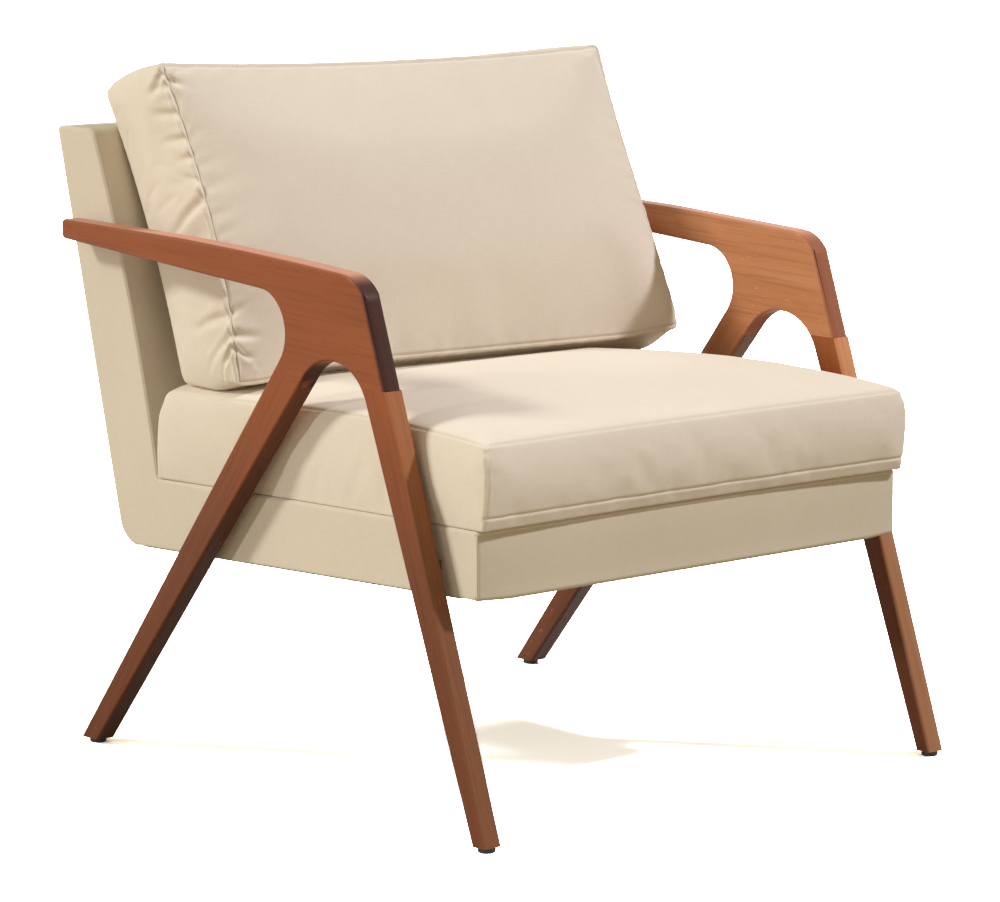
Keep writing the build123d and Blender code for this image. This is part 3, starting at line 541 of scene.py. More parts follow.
def grain_wood(name, along, end, shade, low_shade, front_painted_light):
    """Stained straight-grained hardwood; along is the grain's angle from +Y towards +Z.

    Faces across the grain take the colour end (on the right arm a painted lit copy),
    and level tops a lighter one, a painted highlight. The rest is scaled by shade,
    which is partly painted light, changing to low_shade towards the floor, and the
    faces that look forward once more by a factor of painted light and shade on them.
    """
    g = Graph(name)
    source = g.add("ShaderNodeTexCoord").outputs
    turned = g.mapped(source["Object"], (1, 1, 1), (-along, 0, 0))
    pores = g.stretched_noise(turned, PORE_SCALES, 2.0)
    colour = stained(g, turned, pores, shade)
    colour = shaded(g, colour, source, low_shade, front_painted_light)
    colour = flecked(g, colour, turned, shade)
    ends = cut_ends(g, source["Normal"], along)
    g.feed(g.shader.inputs["Base Color"], g.mix(ends, colour, (*end, 1.0)))
    rough = g.ramp(pores, ROUGH_TONES, [grey(value) for value in WOOD_ROUGHNESS])
    g.feed(g.shader.inputs["Roughness"], g.mix(ends, rough, (*grey(END_ROUGHNESS), 1.0)))
    g.shader.inputs["Specular IOR Level"].default_value = WOOD_SPECULAR
    g.shader.inputs["Coat Weight"].default_value = WOOD_COAT
    g.shader.inputs["Coat Roughness"].default_value = WOOD_COAT_ROUGHNESS
    g.bump(pores, WOOD_BUMP)
    return g.material


def plain_grain(name, colour, contrast, scales, roughness):
    """Simple stained, sawn or moulded surface with a fine grain."""
    g = Graph(name)
    tone = g.stretched_noise(g.add("ShaderNodeTexCoord").outputs["Object"], scales, 4.0)
    deep = tinted(grey(1 - contrast), colour)
    g.feed(g.shader.inputs["Base Color"], g.ramp(tone, PLAIN_TONES, (deep, colour)))
    g.shader.inputs["Roughness"].default_value = roughness
    g.bump(tone, PLAIN_BUMP)
    return g.material


def metal(name, colour, roughness):
    g = Graph(name)
    tone = g.noise(g.add("ShaderNodeTexCoord").outputs["Object"], METAL_SPECKLE, 3.0)
    deep = tinted(grey(METAL_DEEP), colour)
    g.feed(g.shader.inputs["Base Color"], g.ramp(tone, METAL_TONES, (deep, colour)))
    g.shader.inputs["Metallic"].default_value = 1.0
    g.shader.inputs["Roughness"].default_value = roughness
    return g.material


# Side outline of the shell, read from the frame

def closed_chains(after):
    """Loops of vertices, from the vertex that comes after each."""
    chains = []
    while after:
        start = next(iter(after))
        chain = [start]
        step = after.pop(start)
        while step != start:
            chain.append(step)
            step = after.pop(step)
        chains.append(chain)
    return chains


def flat_outline(node, side):
    """Longest edge loop of a node's flat face that looks along X, as (y, z) points."""
    bm = welded(node)
    bm.normal_update()
    low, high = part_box(node)
    face_x = high.x if side > 0 else low.x
    flat = [f for f in bm.faces if f.normal.x * side > FLAT_NORMAL
            and abs(f.calc_center_median().x - face_x) < FLAT_OFF]
    among = set(flat)
    after = {}
    for face in flat:
        for loop in face.loops:
            if sum(f in among for f in loop.edge.link_faces) == 1:
                after[loop.vert.index] = loop.link_loop_next.vert.index
    places = {v.index: (v.co.y, v.co.z) for v in bm.verts}
    bm.free()
    return max(([places[i] for i in chain] for chain in closed_chains(after)), key=perimeter)


def perimeter(loop):
    return sum(math.dist(a, b) for a, b in zip(loop, loop[1:] + loop[:1]))


def counter_clockwise(loop):
    area = sum(a[0] * b[1] - b[0] * a[1] for a, b in zip(loop, loop[1:] + loop[:1]))
    return loop if area > 0 else loop[::-1]


def subdivided(loop, step):
    """The loop with its long runs cut into pieces of about one step."""
    places = []
    for a, b in zip(loop, loop[1:] + loop[:1]):
        count = max(1, round(math.dist(a, b) / step))
        run_y, run_z = b[0] - a[0], b[1] - a[1]
        places += [(a[0] + run_y * i / count, a[1] + run_z * i / count) for i in range(count)]
    return np.array(places)


def inward(loop):
    """Unit directions into a counter-clockwise loop, one for each point, mitred."""
    edges = np.roll(loop, -1, axis=0) - loop
    edges /= np.linalg.norm(edges, axis=1)[:, None]
    left = np.stack([-edges[:, 1], edges[:, 0]], axis=1)
    both = left + np.roll(left, 1, axis=0)
    return both / (np.sum(both * both, axis=1) / 2)[:, None]


def nearest(loop, point):
    return int(np.argmin(np.linalg.norm(loop - np.array(point), axis=1)))


def stretch(loop, first, last):
    """Indices from first to last along a closed loop."""
    count = len(loop)
    return [(first + i) % count for i in range((last - first) % count + 1)]


# Upholstered shell

def set_cloth_map(obj):
    """Writes panel coordinates in metres, from the axis that each face looks along."""
    layer = obj.data.uv_layers.new(name="cloth")
    for polygon in obj.data.polygons:
        for index in polygon.loop_indices:
            co = obj.data.vertices[obj.data.loops[index].vertex_index].co
            layer.data[index].uv = panel_place(co, polygon.normal)


def panel_place(co, normal):
    ax, ay, az = abs(normal.x), abs(normal.y), abs(normal.z)
    if ax >= ay and ax >= az:
        return co.y, co.z
    if ay >= az:
        return co.x, co.z
    return co.x, co.y


def side_panel(name, loop, directions, side, face_x):
    """Upholstered side of the shell: flat cloth whose border turns down into the seam."""
    verts = []
    rings = []
    for distance, depth in reversed(SEAM_STEPS_MM):
        ring = loop + directions * distance * MM
        rings.append(range(len(verts), len(verts) + len(ring)))
        verts += [(face_x - side * depth * MM, y, z) for y, z in ring]
    faces = []
    for outer, inner in zip(rings, rings[1:]):
        count = len(outer)
        for i in range(count):
            j = (i + 1) % count
            quad = (outer[i], outer[j], inner[j], inner[i])
            faces.append(quad if side > 0 else quad[::-1])
    obj = mesh_object(name, verts, faces)
    fill_panel(obj, rings[-1], side)
    even_shading(obj)
    set_cloth_map(obj)
    return obj


def fill_panel(obj, ring, side):
    """Closes a side panel inside its last ring and turns its faces outwards."""
    bm = bmesh.new()
    bm.from_mesh(obj.data)
    bm.verts.ensure_lookup_table()
    corners = [bm.verts[i] for i in ring]
    border = [bm.edges.get(pair) for pair in zip(corners, corners[1:] + corners[:1])]
    bmesh.ops.triangle_fill(bm, edges=border, use_beauty=True, normal=(side, 0, 0))
    bmesh.ops.recalc_face_normals(bm, faces=bm.faces)
    for face in bm.faces:
        face.smooth = True
    bm.to_mesh(obj.data)
    bm.free()
    if sum(p.normal.x * side * p.area for p in obj.data.polygons) < 0:
        obj.data.flip_normals()


def band_columns(half):
    """Places across the shell's band, as (x, depth below the face)."""
    steps = [(half - distance * MM, depth * MM) for distance, depth in SEAM_STEPS_MM]
    inner = [(x, 0.0) for x in np.linspace(0, steps[0][0], BAND_COLUMNS)[1:-1]]
    right = inner + steps
    left = [(-x, d) for x, d in reversed(right)]
    return left + [(0.0, 0.0)] + right


def band(name, loop, directions, span, half, bulge):
    """Cloth across the shell along a stretch of its outline, bulging out in its middle."""
    columns = band_columns(half)
    end = len(span) - 1
    verts = []
    for row, i in enumerate(span):
        sunk = BAND_END_SUNK if row in (0, end) else 0.0
        share = row / end
        for x, depth in columns:
            proud = bulge * 4 * share * (1 - share) * smooth((half - abs(x)) / BULGE_FADE)
            y, z = loop[i] + directions[i] * (depth + sunk - proud)
            verts.append((x, y, z))
    width = len(columns)
    corners = [row * width + c for row in range(end) for c in range(width - 1)]
    faces = [(a, a + width, a + width + 1, a + 1) for a in corners]
    obj = mesh_object(name, verts, faces)
    middle = obj.data.polygons[len(faces) // 2]
    outward = -directions[span[len(span) // 2]]
    if middle.normal.y * outward[0] + middle.normal.z * outward[1] < 0:
        obj.data.flip_normals()
    set_cloth_map(obj)
    return obj


def shell_corners(loop):
    """Corners of the outline: base front below and above, foot, crest and heel of the back."""
    front_low, front_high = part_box("base_front_cover")
    inner_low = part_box("inner_back_cover")[0]
    outer_low, outer_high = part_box("outer_back_cover")
    places = ((front_low.y + DUST_COVER_INSET, front_low.z), (front_low.y, front_high.z),
              (inner_low.y, inner_low.z), (outer_high.y, outer_high.z), (outer_low.y, outer_low.z))
    return [nearest(loop, place) for place in places]


def make_sides(loop, directions, half, cloth):
    for name, side in (("left", -1), ("right", 1)):
        panel = side_panel(name + "_side_upholstery", loop, directions, side, side * half)
        finish_piece(panel, "chair_frame", cloth, [name + "_side_cover"])


def make_shell(cloth, front_cloth_painted_shade, dust):
    loop = subdivided(counter_clockwise(flat_outline("left_side_cover", -1)), SHELL_STEP)
    directions = inward(loop)
    half = -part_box("left_side_cover")[0].x
    make_sides(loop, directions, half, cloth)
    front_low, front_high, foot, crest, heel = shell_corners(loop)
    span = stretch(loop, front_low, heel)
    obj = band("dust_cover_cloth", loop, directions, span, half, 0.0)
    finish_piece(obj, "chair_frame", dust, ["dust_cover"])
    panels = (
        ("base_front", front_high, front_low, front_cloth_painted_shade, BASE_FRONT_BULGE, ["base_front_cover"]),
        ("deck", foot, front_high, cloth, 0.0, ["deck_cover", "deck_pad"]),
        ("inner_back", crest, foot, cloth, 0.0, ["inner_back_cover", "back_pad"]),
        ("outer_back", heel, crest, cloth, 0.0, ["outer_back_cover"]),
    )
    for name, first, last, material, bulge, nodes in panels:
        span = stretch(loop, first, last)
        obj = band(name + "_upholstery", loop, directions, span, half, bulge)
        finish_piece(obj, "chair_frame", material, nodes)


# Boxed cushions

def points(y, z):
    """Side-view points from depths and heights."""
    return np.stack(np.broadcast_arrays(y, z), axis=-1).astype(float)


def bowed(start, end, rise, t):
    """Places at shares t of shallow arcs whose middles stand to the left of start-end."""
    run = end - start
    left = np.stack([-run[..., 1], run[..., 0]], axis=-1)
    left = left / np.linalg.norm(run, axis=-1)[..., None]
    t = np.asarray(t)[..., None]
    return start + run * t + left * (4 * np.asarray(rise)[..., None] * t * (1 - t))


def joined(first, second, share, t):
    """The first run up to a share of the way, then the second."""
    early = first(np.minimum(t / share, 1.0))
    late = second(np.maximum((t - share) / (1 - share), 0.0))
    return np.where((t < share)[:, None], early, late)


def patch(v, w, front, rear, low, high):
    """Coons patch between four edge curves of a cushion's side view."""
    zero, one = np.zeros_like(v), np.ones_like(v)
    a, b = v[:, None], w[:, None]
    edges = (1 - a) * front(w) + a * rear(w) + (1 - b) * low(v) + b * high(v)
    corners = (1 - a) * ((1 - b) * front(zero) + b * front(one))
    corners += a * ((1 - b) * rear(zero) + b * rear(one))
    return edges - corners


class BoxCushion:
    """Closed skin of a boxed cushion: the surface of a lattice of u, v, w places.

    The axes 0, 1 and 2 run across the chair, from its front to its back and upwards.
    """

    def __init__(self, name, shares, place, sizes):
        self.shares = shares
        self.sizes = sizes
        self.ends = [len(s) - 1 for s in shares]
        keys = [k for k in np.ndindex(*[n + 1 for n in self.ends])
                if any(i in (0, n) for i, n in zip(k, self.ends))]
        self.index = {k: i for i, k in enumerate(keys)}
        self.lattice = np.array(keys)
        self.uvw = np.stack([shares[a][self.lattice[:, a]] for a in range(3)], axis=1)
        self.faces = []
        self.cloth = []
        for axis in range(3):
            for end in (0, self.ends[axis]):
                self.add_side(axis, end)
        self.obj = mesh_object(name, place(*self.uvw.T), self.faces)
        layer = self.obj.data.uv_layers.new(name="cloth")
        layer.data.foreach_set("uv", np.array(self.cloth, np.float32).ravel())

    def add_side(self, axis, end):
        one, two = [a for a in range(3) if a != axis]
        outward = (axis == 1) == (end == 0)
        for a in range(self.ends[one]):
            for b in range(self.ends[two]):
                corners = [(a, b), (a + 1, b), (a + 1, b + 1), (a, b + 1)]
                if not outward:
                    corners.reverse()
                quad = []
                for p, q in corners:
                    key = [end, end, end]
                    key[one], key[two] = p, q
                    quad.append(self.index[tuple(key)])
                    self.cloth.append((self.shares[one][p] * self.sizes[one],
                                       self.shares[two][q] * self.sizes[two]))
                self.faces.append(tuple(quad))

    def on(self, axis, end):
        """Mask of the vertices on one side; end is 0 or 1."""
        return self.lattice[:, axis] == end * self.ends[axis]

    def on_both(self, axis):
        """Mask of the vertices on either side across an axis."""
        return self.on(axis, 0) | self.on(axis, 1)

    def reach(self, axis, end):
        """Distance of every vertex from one side, in metres along the cloth."""
        share = self.uvw[:, axis] if end == 0 else 1 - self.uvw[:, axis]
        return share * self.sizes[axis]

    def reach_both(self, axis):
        """Distance of every vertex from the nearer side across an axis."""
        return np.minimum(self.reach(axis, 0), self.reach(axis, 1))


def spaced(length, step, border, border_step):
    """Places from 0 to 1 along a length, closer together near both ends."""
    near = np.arange(0.0, border - border_step / 2, border_step)
    count = max(2, round((length - 2 * border) / step))
    middle = np.linspace(border, length - border, count + 1)
    return np.concatenate([near, middle, length - near[::-1]]) / length


def pin(obj, hold):
    """Vertex group with the given pin weights."""
    group = obj.vertex_groups.new(name="held")
    levels = np.round(hold, 2)
    for level in np.unique(levels):
        members = np.nonzero(levels == level)[0]
        group.add([int(i) for i in members], float(level), "REPLACE")
    return group


def blow_up(obj, hold, pressure, slack, cap):
    """Inflates a closed skin with Blender's cloth and applies the result.

    hold is the pin weight of each vertex, slack the share by which the cloth
    is larger than the skin, and cap the longest move of any vertex.
    """
    start = coordinates(obj)
    group = pin(obj, hold)
    cloth = obj.modifiers.new("fill", "CLOTH")
    for key, value in CLOTH_SETTINGS.items():
        setattr(cloth.settings, key, value)
    cloth.settings.uniform_pressure_force = pressure
    cloth.settings.vertex_group_mass = group.name
    cloth.settings.shrink_min = -slack
    cloth.settings.effector_weights.gravity = 0.0
    cloth.collision_settings.use_collision = False
    scene = bpy.context.scene
    for step in range(1, SIMULATION_STEPS + 1):
        scene.frame_set(step)
    evaluated = obj.evaluated_get(bpy.context.evaluated_depsgraph_get())
    move = coordinates(evaluated) - start
    obj.modifiers.remove(cloth)
    obj.vertex_groups.remove(group)
    scene.frame_set(1)
    length = np.linalg.norm(move, axis=1)
    share = np.minimum(1.0, cap / np.maximum(length, 1e-9))
    set_coordinates(obj, start + move * share[:, None])


def push(obj, height, mask):
    """Moves the masked vertices along their normals."""
    co = coordinates(obj)
    co[mask] += normals(obj)[mask] * height[mask][:, None]
    set_coordinates(obj, co)


def puff(obj, distance, mask, rise, spread):
    """Lifts a panel off its seams like filled cloth, by its distance from the nearest seam."""
    push(obj, rise * (1 - np.exp(-distance / spread)), mask & (distance > 0))


def relax(obj, weight, turns):
    """Evens out the skin where weight is above 0, which rounds its edges and corners."""
    edges = np.zeros(len(obj.data.edges) * 2, np.int64)
    obj.data.edges.foreach_get("vertices", edges)
    a, b = edges.reshape(-1, 2).T
    count = np.bincount(a, minlength=len(weight)) + np.bincount(b, minlength=len(weight))
    co = coordinates(obj)
    for _ in range(turns):
        total = np.zeros_like(co)
        np.add.at(total, a, co[b])
        np.add.at(total, b, co[a])
        co += (total / count[:, None] - co) * (RELAX_STEP * weight)[:, None]
    set_coordinates(obj, co)


def subdivide(obj):
    modifier = obj.modifiers.new("smooth", "SUBSURF")
    modifier.levels = 1
    modifier.render_levels = 1


def puckers(seed, length, spacing, reach, depth):
    """Random small folds along a seam, as (place, reach, depth, half width, slant)."""
    draw = random.Random(seed)
    folds = []
    place = spacing * draw.uniform(0.3, 1.0)
    while place < length:
        folds.append((place, reach * draw.uniform(0.35, 1.0), depth * draw.uniform(0.3, 1.0),
                      draw.uniform(0.0028, 0.0048), draw.uniform(-0.5, 0.5)))
        place += spacing * draw.uniform(0.45, 1.6)
    return folds


def folded(distance, run, folds):
    """Height of the folds at places given by distance from the seam and run along it."""
    height = np.zeros(len(run))
    for place, reach, depth, width, slant in folds:
        off = (run - place - slant * distance) / width
        fade = smooth(1 - distance / reach) * smooth(FOLD_AT_SEAM + distance / FOLD_START)
        bank = FOLD_BANK * np.exp(-(off / FOLD_BANK_WIDTH) ** 2)
        height += depth * fade * (bank - np.exp(-off * off))
    return height


def seam_profile(distance, ridge, groove):
    """Small ridge beside a seam and the groove of the seam itself."""
    beside = np.exp(-((distance - SEAM_RIDGE_AT) / SEAM_RIDGE_WIDTH) ** 2)
    inside = np.exp(-(distance / SEAM_GROOVE_WIDTH) ** 2)
    return ridge * beside - groove * inside


def seam_rows(places, seam):
    """Lattice places with extra rows around a seam."""
    kept = [p for p in places if abs(p - seam) > SEAM_ROWS_CLEAR]
    return np.array(sorted(kept + [seam + off for off in SEAM_ROWS]))


# Seat cushion

def seat_form(half, front, rear, deck_front, deck_rear):
    """Function that places the seat cushion's lattice before it is filled."""
    def place(u, v, w):
        s = 2 * u - 1
        swell = 1 - s * s
        crown = SEAT_CROWN_EDGE + (SEAT_CROWN_MID - SEAT_CROWN_EDGE) * swell
        seam = points(front + SEAT_FRONT_DRAW_IN * swell, SEAT_SEAM_Z)
        low_front = seam + (SEAT_UNDERCUT, deck_front - SEAT_SEAM_Z)
        low_rear = points(rear, deck_rear)
        seam_rear = points(rear - SEAT_REAR_LEAN, SEAT_REAR_Z)
        flat = points(SEAT_FLAT_FROM, SEAT_FLAT_Z)
        flat_share = (SEAT_FLAT_FROM - front) / (rear - front)

        def top(t):
            return joined(lambda q: bowed(seam, flat, crown, q),
                          lambda q: bowed(flat, seam_rear, 0.0, q), flat_share, t)

        side = patch(v, w, lambda t: bowed(low_front, seam, SEAT_FRONT_BOW, t),
                     lambda t: bowed(low_rear, seam_rear, 0.0, t),
                     lambda t: bowed(low_front, low_rear, 0.0, t), top)
        x = s * (half - SEAT_SIDE_DRAW_IN * (1 - (2 * v - 1) ** 2))
        return np.column_stack([x, side])
    return place


def fill_seat(cushion):
    """Puffs the seat cushion's panels and inflates it, held by its base, rear and seams."""
    obj, ends = cushion.obj, cushion.on_both(0)
    from_end, from_front = cushion.reach_both(0), cushion.reach(1, 0)
    from_level = cushion.reach_both(2)
    puff(obj, np.minimum(from_end, from_front), cushion.on(2, 1), *SEAT_PUFF)
    puff(obj, np.minimum(from_end, from_level), cushion.on(1, 0), *SEAT_FRONT_PUFF)
    puff(obj, np.minimum(from_front, from_level), ends, *SEAT_PUFF)
    hold = np.zeros(len(cushion.uvw))
    hold[cushion.on(2, 0) | cushion.on(1, 1)] = 1.0
    posts = ends & cushion.on_both(1)
    rim = cushion.on(2, 1) & (ends | cushion.on_both(1))
    hold[posts | rim] = np.maximum(hold[posts | rim], SEAT_RIM_HOLD)
    blow_up(obj, hold, *SEAT_BLOW)


def sew_seat(cushion):
    """Rounds the seat cushion's upper edges and adds its seams and corner folds."""
    obj, ends, front = cushion.obj, cushion.on_both(0), cushion.on(1, 0)
    walls = ends | front
    from_end, from_front = cushion.reach_both(0), cushion.reach(1, 0)
    from_top = cushion.reach(2, 1)
    reach, turns = SEAT_EDGE_ROUND
    from_edge = np.maximum(from_top, np.minimum(from_front, from_end))
    relax(obj, smooth(1 - from_edge / reach), turns)
    push(obj, seam_profile(from_top, *SEAT_TOP_SEAM), walls)
    from_lower = np.abs(cushion.reach(2, 0) - SEAT_LOWER_SEAM_UP)
    push(obj, seam_profile(from_lower, *SEAT_LOWER_SEAM), front)
    corner = np.where(ends, from_front, from_end)
    push(obj, seam_profile(corner, *SEAT_CORNER_SEAM), walls)
    push(obj, folded(corner, from_top, puckers(*SEAT_PUCKERS)), walls)


def make_seat_cushion(cloth):
    bottom_low, bottom_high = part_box("seat_cushion_bottom")
    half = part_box("seat_cushion_top")[1].x
    front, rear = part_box("seat_cushion_boxing")[0].y, bottom_high.y
    deck_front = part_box("deck_cover")[1].z + CLEARANCE
    height = SEAT_SEAM_Z - deck_front
    sizes = (2 * half, rear - front, height)
    rows = seam_rows(spaced(height, *SEAT_ROW_SPACING) * height, SEAT_LOWER_SEAM_UP) / height
    shares = (spaced(sizes[0], *SEAT_SPACING), spaced(sizes[1], *SEAT_SPACING), rows)
    form = seat_form(half, front, rear, deck_front, bottom_low.z)
    cushion = BoxCushion("seat_cushion", shares, form, sizes)
    fill_seat(cushion)
    sew_seat(cushion)
    subdivide(cushion.obj)
    finish_piece(cushion.obj, "seat_cushion", cloth,
                 ["seat_cushion_core", "seat_cushion_top", "seat_cushion_boxing",
                  "seat_cushion_bottom"])


# Back cushion

def back_form(u, v, w):
    """Places of the back cushion's lattice before it is filled."""
    s = 2 * u - 1
    swell = 1 - s * s
    left_end = smooth((-s - BACK_LEFT_END[0]) / BACK_LEFT_END[1])
    right_end = smooth((s - BACK_RIGHT_END[0]) / BACK_RIGHT_END[1])
    crown = BACK_CROWN_EDGE + (BACK_CROWN_MID - BACK_CROWN_EDGE) * swell
    rest = SEAT_FLAT_Z + CLEARANCE
    low = points(-BACK_RIGHT_PULL * right_end,
                 BACK_SEAM_LOW_Z - BACK_LEFT_DROOP * left_end + BACK_RIGHT_LIFT * right_end)
    high = points(BACK_SEAM_HIGH_Y, BACK_SEAM_HIGH_Z - BACK_TOP_DRAW_IN * swell)
    rear_high = points(BACK_REAR_TOP_Y, BACK_REAR_TOP_Z - BACK_TOP_DRAW_IN * swell)
    rear_low = points(BACK_REAR_LOW_Y, rest)
    under = points(BACK_UNDER_Y, rest)

    def front(t):
        return bowed(low, high, crown * (1 + BACK_BELLY * (1 - 2 * t)), t)

    def base(t):
        return joined(lambda q: bowed(low, under, BACK_UNDER_BOW, q),
                      lambda q: bowed(under, rear_low, 0.0, q), BACK_UNDER_SHARE, t)

    side = patch(v, w, front, lambda t: bowed(rear_low, rear_high, 0.0, t), base,
                 lambda t: bowed(high, rear_high, BACK_TOP_BULGE, t))
    x = s * (BACK_WIDTH / 2 - BACK_SIDE_DRAW_IN * 4 * w * (1 - w))
    y, z = side.T
    turn = math.radians(BACK_TURN_DEG)
    return np.column_stack([BACK_PLACE[0] + x * math.cos(turn) - y * math.sin(turn),
                            BACK_PLACE[1] + x * math.sin(turn) + y * math.cos(turn), z])


def fill_back(cushion):
    """Puffs the back cushion's panels and inflates it, held by its rear, base and seams."""
    obj, ends = cushion.obj, cushion.on_both(0)
    from_end, from_level = cushion.reach_both(0), cushion.reach_both(2)
    from_front = cushion.reach(1, 0)
    puff(obj, np.minimum(from_end, from_level), cushion.on(1, 0), *BACK_FRONT_PUFF)
    puff(obj, np.minimum(cushion.reach_both(1), from_level), ends, *BACK_SIDE_PUFF)
    puff(obj, np.minimum(from_end, from_front), cushion.on(2, 1), *BACK_TOP_PUFF)
    hold = np.zeros(len(cushion.uvw))
    hold[cushion.on(1, 1)] = 1.0
    hold[cushion.on(2, 0) & (from_front > BACK_UNDER_FREE)] = 1.0
    rim = cushion.on(1, 0) & (ends | cushion.on_both(2))
    hold[rim] = np.maximum(hold[rim], BACK_RIM_HOLD)
    blow_up(obj, hold, *BACK_BLOW)


def round_back(cushion):
    """Rounds the back cushion's corners and evens out its front panel."""
    obj, from_end = cushion.obj, cushion.reach_both(0)
    reach, turns = BACK_LOW_CORNER_ROUND
    relax(obj, smooth(1 - np.maximum(from_end, cushion.reach(2, 0)) / reach), turns)
    reach, turns = BACK_REAR_CORNER_ROUND
    from_rear_top = np.maximum(cushion.reach(2, 1), cushion.reach(1, 1))
    relax(obj, smooth(1 - np.maximum(from_end, from_rear_top) / reach), turns)
    from_seam = np.minimum(from_end, cushion.reach_both(2))
    start, run, turns = BACK_PANEL_EVEN
    relax(obj, smooth((from_seam - start) / run) * cushion.on(1, 0), turns)


def sew_back(cushion):
    """Adds the back cushion's front seam and the folds that start from it."""
    obj, front, left = cushion.obj, cushion.on(1, 0), cushion.on(0, 0)
    from_front, rise = cushion.reach(1, 0), cushion.reach(2, 0)
    boxing = cushion.on_both(0) | cushion.on_both(2)
    push(obj, seam_profile(from_front, *BACK_BOXING_SEAM), boxing)
    from_seam = np.minimum(cushion.reach_both(0), cushion.reach_both(2))
    push(obj, seam_profile(np.abs(from_seam - BACK_PANEL_SEAM_IN), *BACK_PANEL_SEAM), front)
    push(obj, folded(from_front, rise, LEFT_FOLDS), left)
    push(obj, folded(cushion.reach(0, 0), rise, FRONT_FOLDS), front)
    for end, seed in enumerate(BACK_PUCKER_SEEDS):
        folds = puckers(seed, BACK_HEIGHT, *BACK_PUCKERS)
        push(obj, folded(from_front, rise, folds), cushion.on(0, end))


def make_back_cushion(cloth):
    sizes = (BACK_WIDTH, BACK_DEPTH, BACK_HEIGHT)
    shares = [spaced(size, *spacing) for size, spacing in zip(sizes, BACK_SPACINGS)]
    cushion = BoxCushion("back_cushion", shares, back_form, sizes)
    fill_back(cushion)
    round_back(cushion)
    sew_back(cushion)
    subdivide(cushion.obj)
    finish_piece(cushion.obj, "back_cushion", cloth,
                 ["back_cushion_core", "back_cushion_front", "back_cushion_boxing",
                  "back_cushion_rear"])


# Side frames

def rounded_wood(node, material):
    """Copy of a wooden node whose eased edges are rounded off."""
    bm = welded(node)
    bmesh.ops.dissolve_limit(bm, angle_limit=math.radians(MERGED_FACE_DEG), verts=bm.verts,
                             edges=bm.edges)
    low, high = [math.radians(a) for a in EASED_EDGE_DEG]
    eased = [e for e in bm.edges if e.is_manifold and low < e.calc_face_angle() < high]
    bmesh.ops.bevel(bm, geom=eased, offset=WOOD_EDGE_ROUND, offset_type="OFFSET",
                    segments=WOOD_EDGE_SEGMENTS, profile=0.5, affect="EDGES", clamp_overlap=True)
    obj = mesh_object(node + "_wood", [], [])
    bm.to_mesh(obj.data)
    bm.free()
    obj.data.polygons.foreach_set("use_smooth", [True] * len(obj.data.polygons))
    obj.data.set_sharp_from_angle(angle=math.radians(SHARP_EDGE_DEG))
    even_shading(obj)
    finish_piece(obj, "chair_frame", material, [node])


def make_side_frames():
    arm_along, front_along, rear_along = [math.radians(a) for a in GRAIN_DEG]
    # The right arm's cut end and colour, and the legs' forward faces, carry painted light and
    # shade.
    sides = (("left", WOOD_END, ARM_SHADE, LEFT_LEG_FRONT_PAINTED_LIGHT),
             ("right", WOOD_END_RIGHT_PAINTED_LIGHT, RIGHT_ARM_TONE_AND_PAINTED_LIGHT, RIGHT_LEG_FRONT_PAINTED_LIGHT))
    for side, end, arm_tone_and_light, leg_front_painted_light in sides:
        name = "wood_along_" + side
        foot_shade = tuple(leg / arm for leg, arm in zip(LEG_SHADE, arm_tone_and_light))
        woods = {
            "_arm": (arm_along, end, arm_tone_and_light, grey(1.0), grey(1.0)),
            "_front_leg": (front_along, WOOD_END, ARM_SHADE, LEG_SHADE, leg_front_painted_light),
            "_rear_leg": (rear_along, WOOD_END, arm_tone_and_light, foot_shade, REAR_LEG_FRONT_PAINTED_SHADE),
        }
        for piece, look in woods.items():
            rounded_wood(side + piece, grain_wood(name + piece, *look))


# Nodes that no piece replaces

def dress_frame():
    materials = {name: plain_grain(name, *look) for name, look in PLAIN_MATERIALS.items()}
    materials.update({name: metal(name, *look) for name, look in METALS.items()})
    for name, nodes in DRESSED.items():
        for node in nodes:
            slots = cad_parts[node].data.materials
            slots.clear()
            slots.append(materials[name])


# Stage

def ray_colour(tree, seen, mirrored, other):
    """Colour of the surroundings to the camera, in reflections, and as they light the chair."""
    path = tree.nodes.new("ShaderNodeLightPath")
    straight = tree.nodes.new("ShaderNodeMath")
    straight.operation = "MAXIMUM"
    tree.links.new(path.outputs["Is Camera Ray"], straight.inputs[0])
    tree.links.new(path.outputs["Is Transmission Ray"], straight.inputs[1])
    inner = tree.nodes.new("ShaderNodeMix")
    outer = tree.nodes.new("ShaderNodeMix")
    for blend, mask, choice in ((inner, path.outputs["Is Glossy Ray"], mirrored),
                                (outer, straight.outputs[0], seen)):
        blend.data_type = "RGBA"
        tree.links.new(mask, blend.inputs["Factor"])
        blend.inputs["B"].default_value = (*choice, 1.0)
    inner.inputs["A"].default_value = (*other, 1.0)
    tree.links.new(inner.outputs["Result"], outer.inputs["A"])
    return outer.outputs["Result"]


def make_world():
    world = bpy.data.worlds.new("studio")
    world.use_nodes = True
    bpy.context.scene.world = world
    tree = world.node_tree
    sky = ray_colour(tree, grey(1.0), grey(1.0), SKY_COLOUR)
    tree.links.new(sky, tree.nodes["Background"].inputs["Color"])


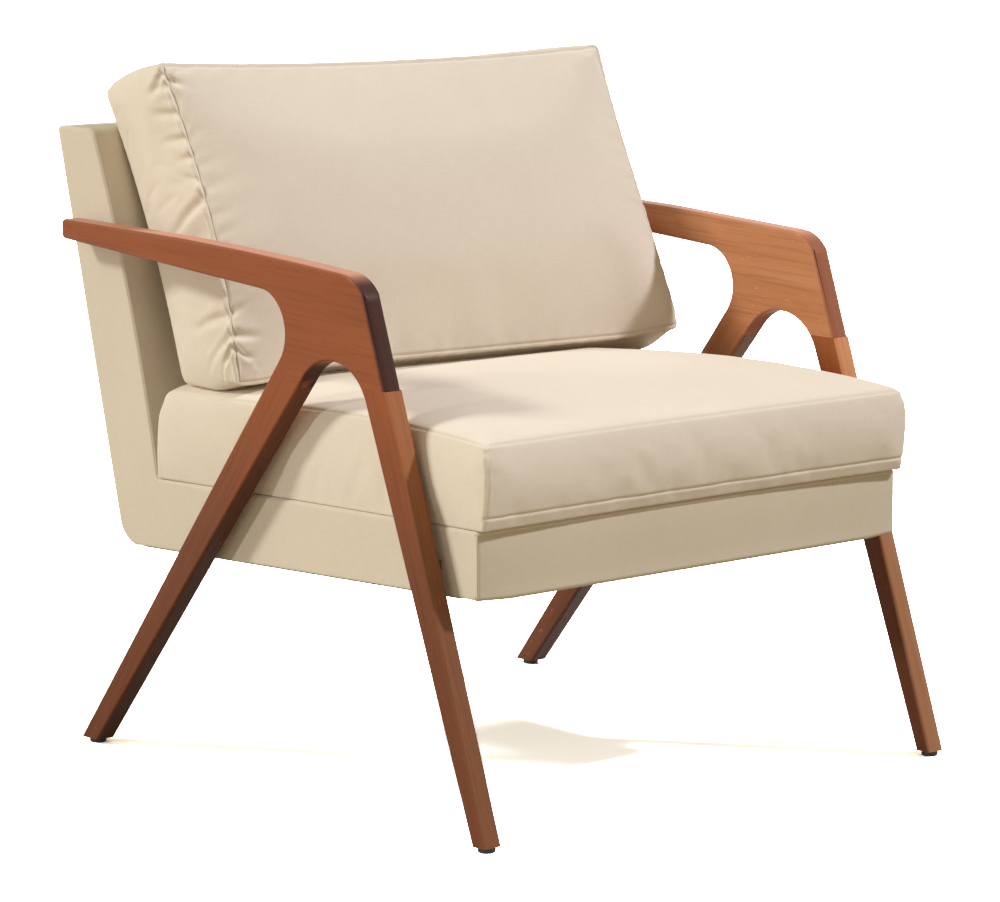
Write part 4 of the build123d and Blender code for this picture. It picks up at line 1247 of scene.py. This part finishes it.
def make_floor():
    h = FLOOR_SIZE / 2
    corners = [(-h, -h, 0), (h, -h, 0), (h, h, 0), (-h, h, 0)]
    floor = mesh_object("floor", corners, [(0, 1, 2, 3)])
    material = bpy.data.materials.new("pale_floor")
    material.use_nodes = True
    tree = material.node_tree
    shader = tree.nodes["Principled BSDF"]
    shader.inputs["Roughness"].default_value = 1.0
    shader.inputs["Specular IOR Level"].default_value = 0.0
    colour = ray_colour(tree, FLOOR_SEEN, grey(1.0), FLOOR_BOUNCE)
    tree.links.new(colour, shader.inputs["Base Color"])
    floor.data.materials.append(material)


def sun_lamp(name, direction, strength, angle_deg, colour):
    sun = bpy.data.lights.new(name, "SUN")
    sun.energy = strength
    sun.angle = math.radians(angle_deg)
    sun.color = colour
    lamp = bpy.data.objects.new(name, sun)
    lamp.rotation_euler = Vector(direction).to_track_quat("Z", "Y").to_euler()
    bpy.context.scene.collection.objects.link(lamp)


def soft_lamp(name, place, power):
    area = bpy.data.lights.new(name, "AREA")
    area.energy = power
    area.size = LAMP_SIZE
    lamp = bpy.data.objects.new(name, area)
    lamp.location = place
    away = Vector(place) - Vector(LAMP_AIM)
    lamp.rotation_euler = away.to_track_quat("Z", "Y").to_euler()
    bpy.context.scene.collection.objects.link(lamp)


def make_light():
    for name, look in SUNS.items():
        sun_lamp(name, *look)
    for name, look in SOFT_LAMPS.items():
        soft_lamp(name, *look)


def make_camera():
    camera = bpy.data.cameras.new("photo_camera")
    camera.lens = CAMERA_LENS
    camera.sensor_fit = "HORIZONTAL"
    camera.sensor_width = CAMERA_SENSOR
    obj = bpy.data.objects.new("photo_camera", camera)
    obj.location = CAMERA_PLACE
    obj.rotation_euler = [math.radians(a) for a in CAMERA_TURN_DEG]
    bpy.context.scene.collection.objects.link(obj)
    bpy.context.scene.camera = obj


bpy.context.scene.view_settings.view_transform = "Standard"
make_world()
make_floor()
make_light()
make_camera()
dress_frame()
make_side_frames()
linen_cloth = linen("linen", CUSHION_SHADE)
shell_cloth = linen("shell_linen", SHELL_PAINTED_SHADE)
front_cloth_painted_shade = linen("base_front_linen_painted_shade", BASE_FRONT_PAINTED_SHADE)
dust_cloth = plain_grain("dust_cloth", *DUST_CLOTH)
make_shell(shell_cloth, front_cloth_painted_shade, dust_cloth)
make_seat_cushion(linen_cloth)
make_back_cushion(linen_cloth)
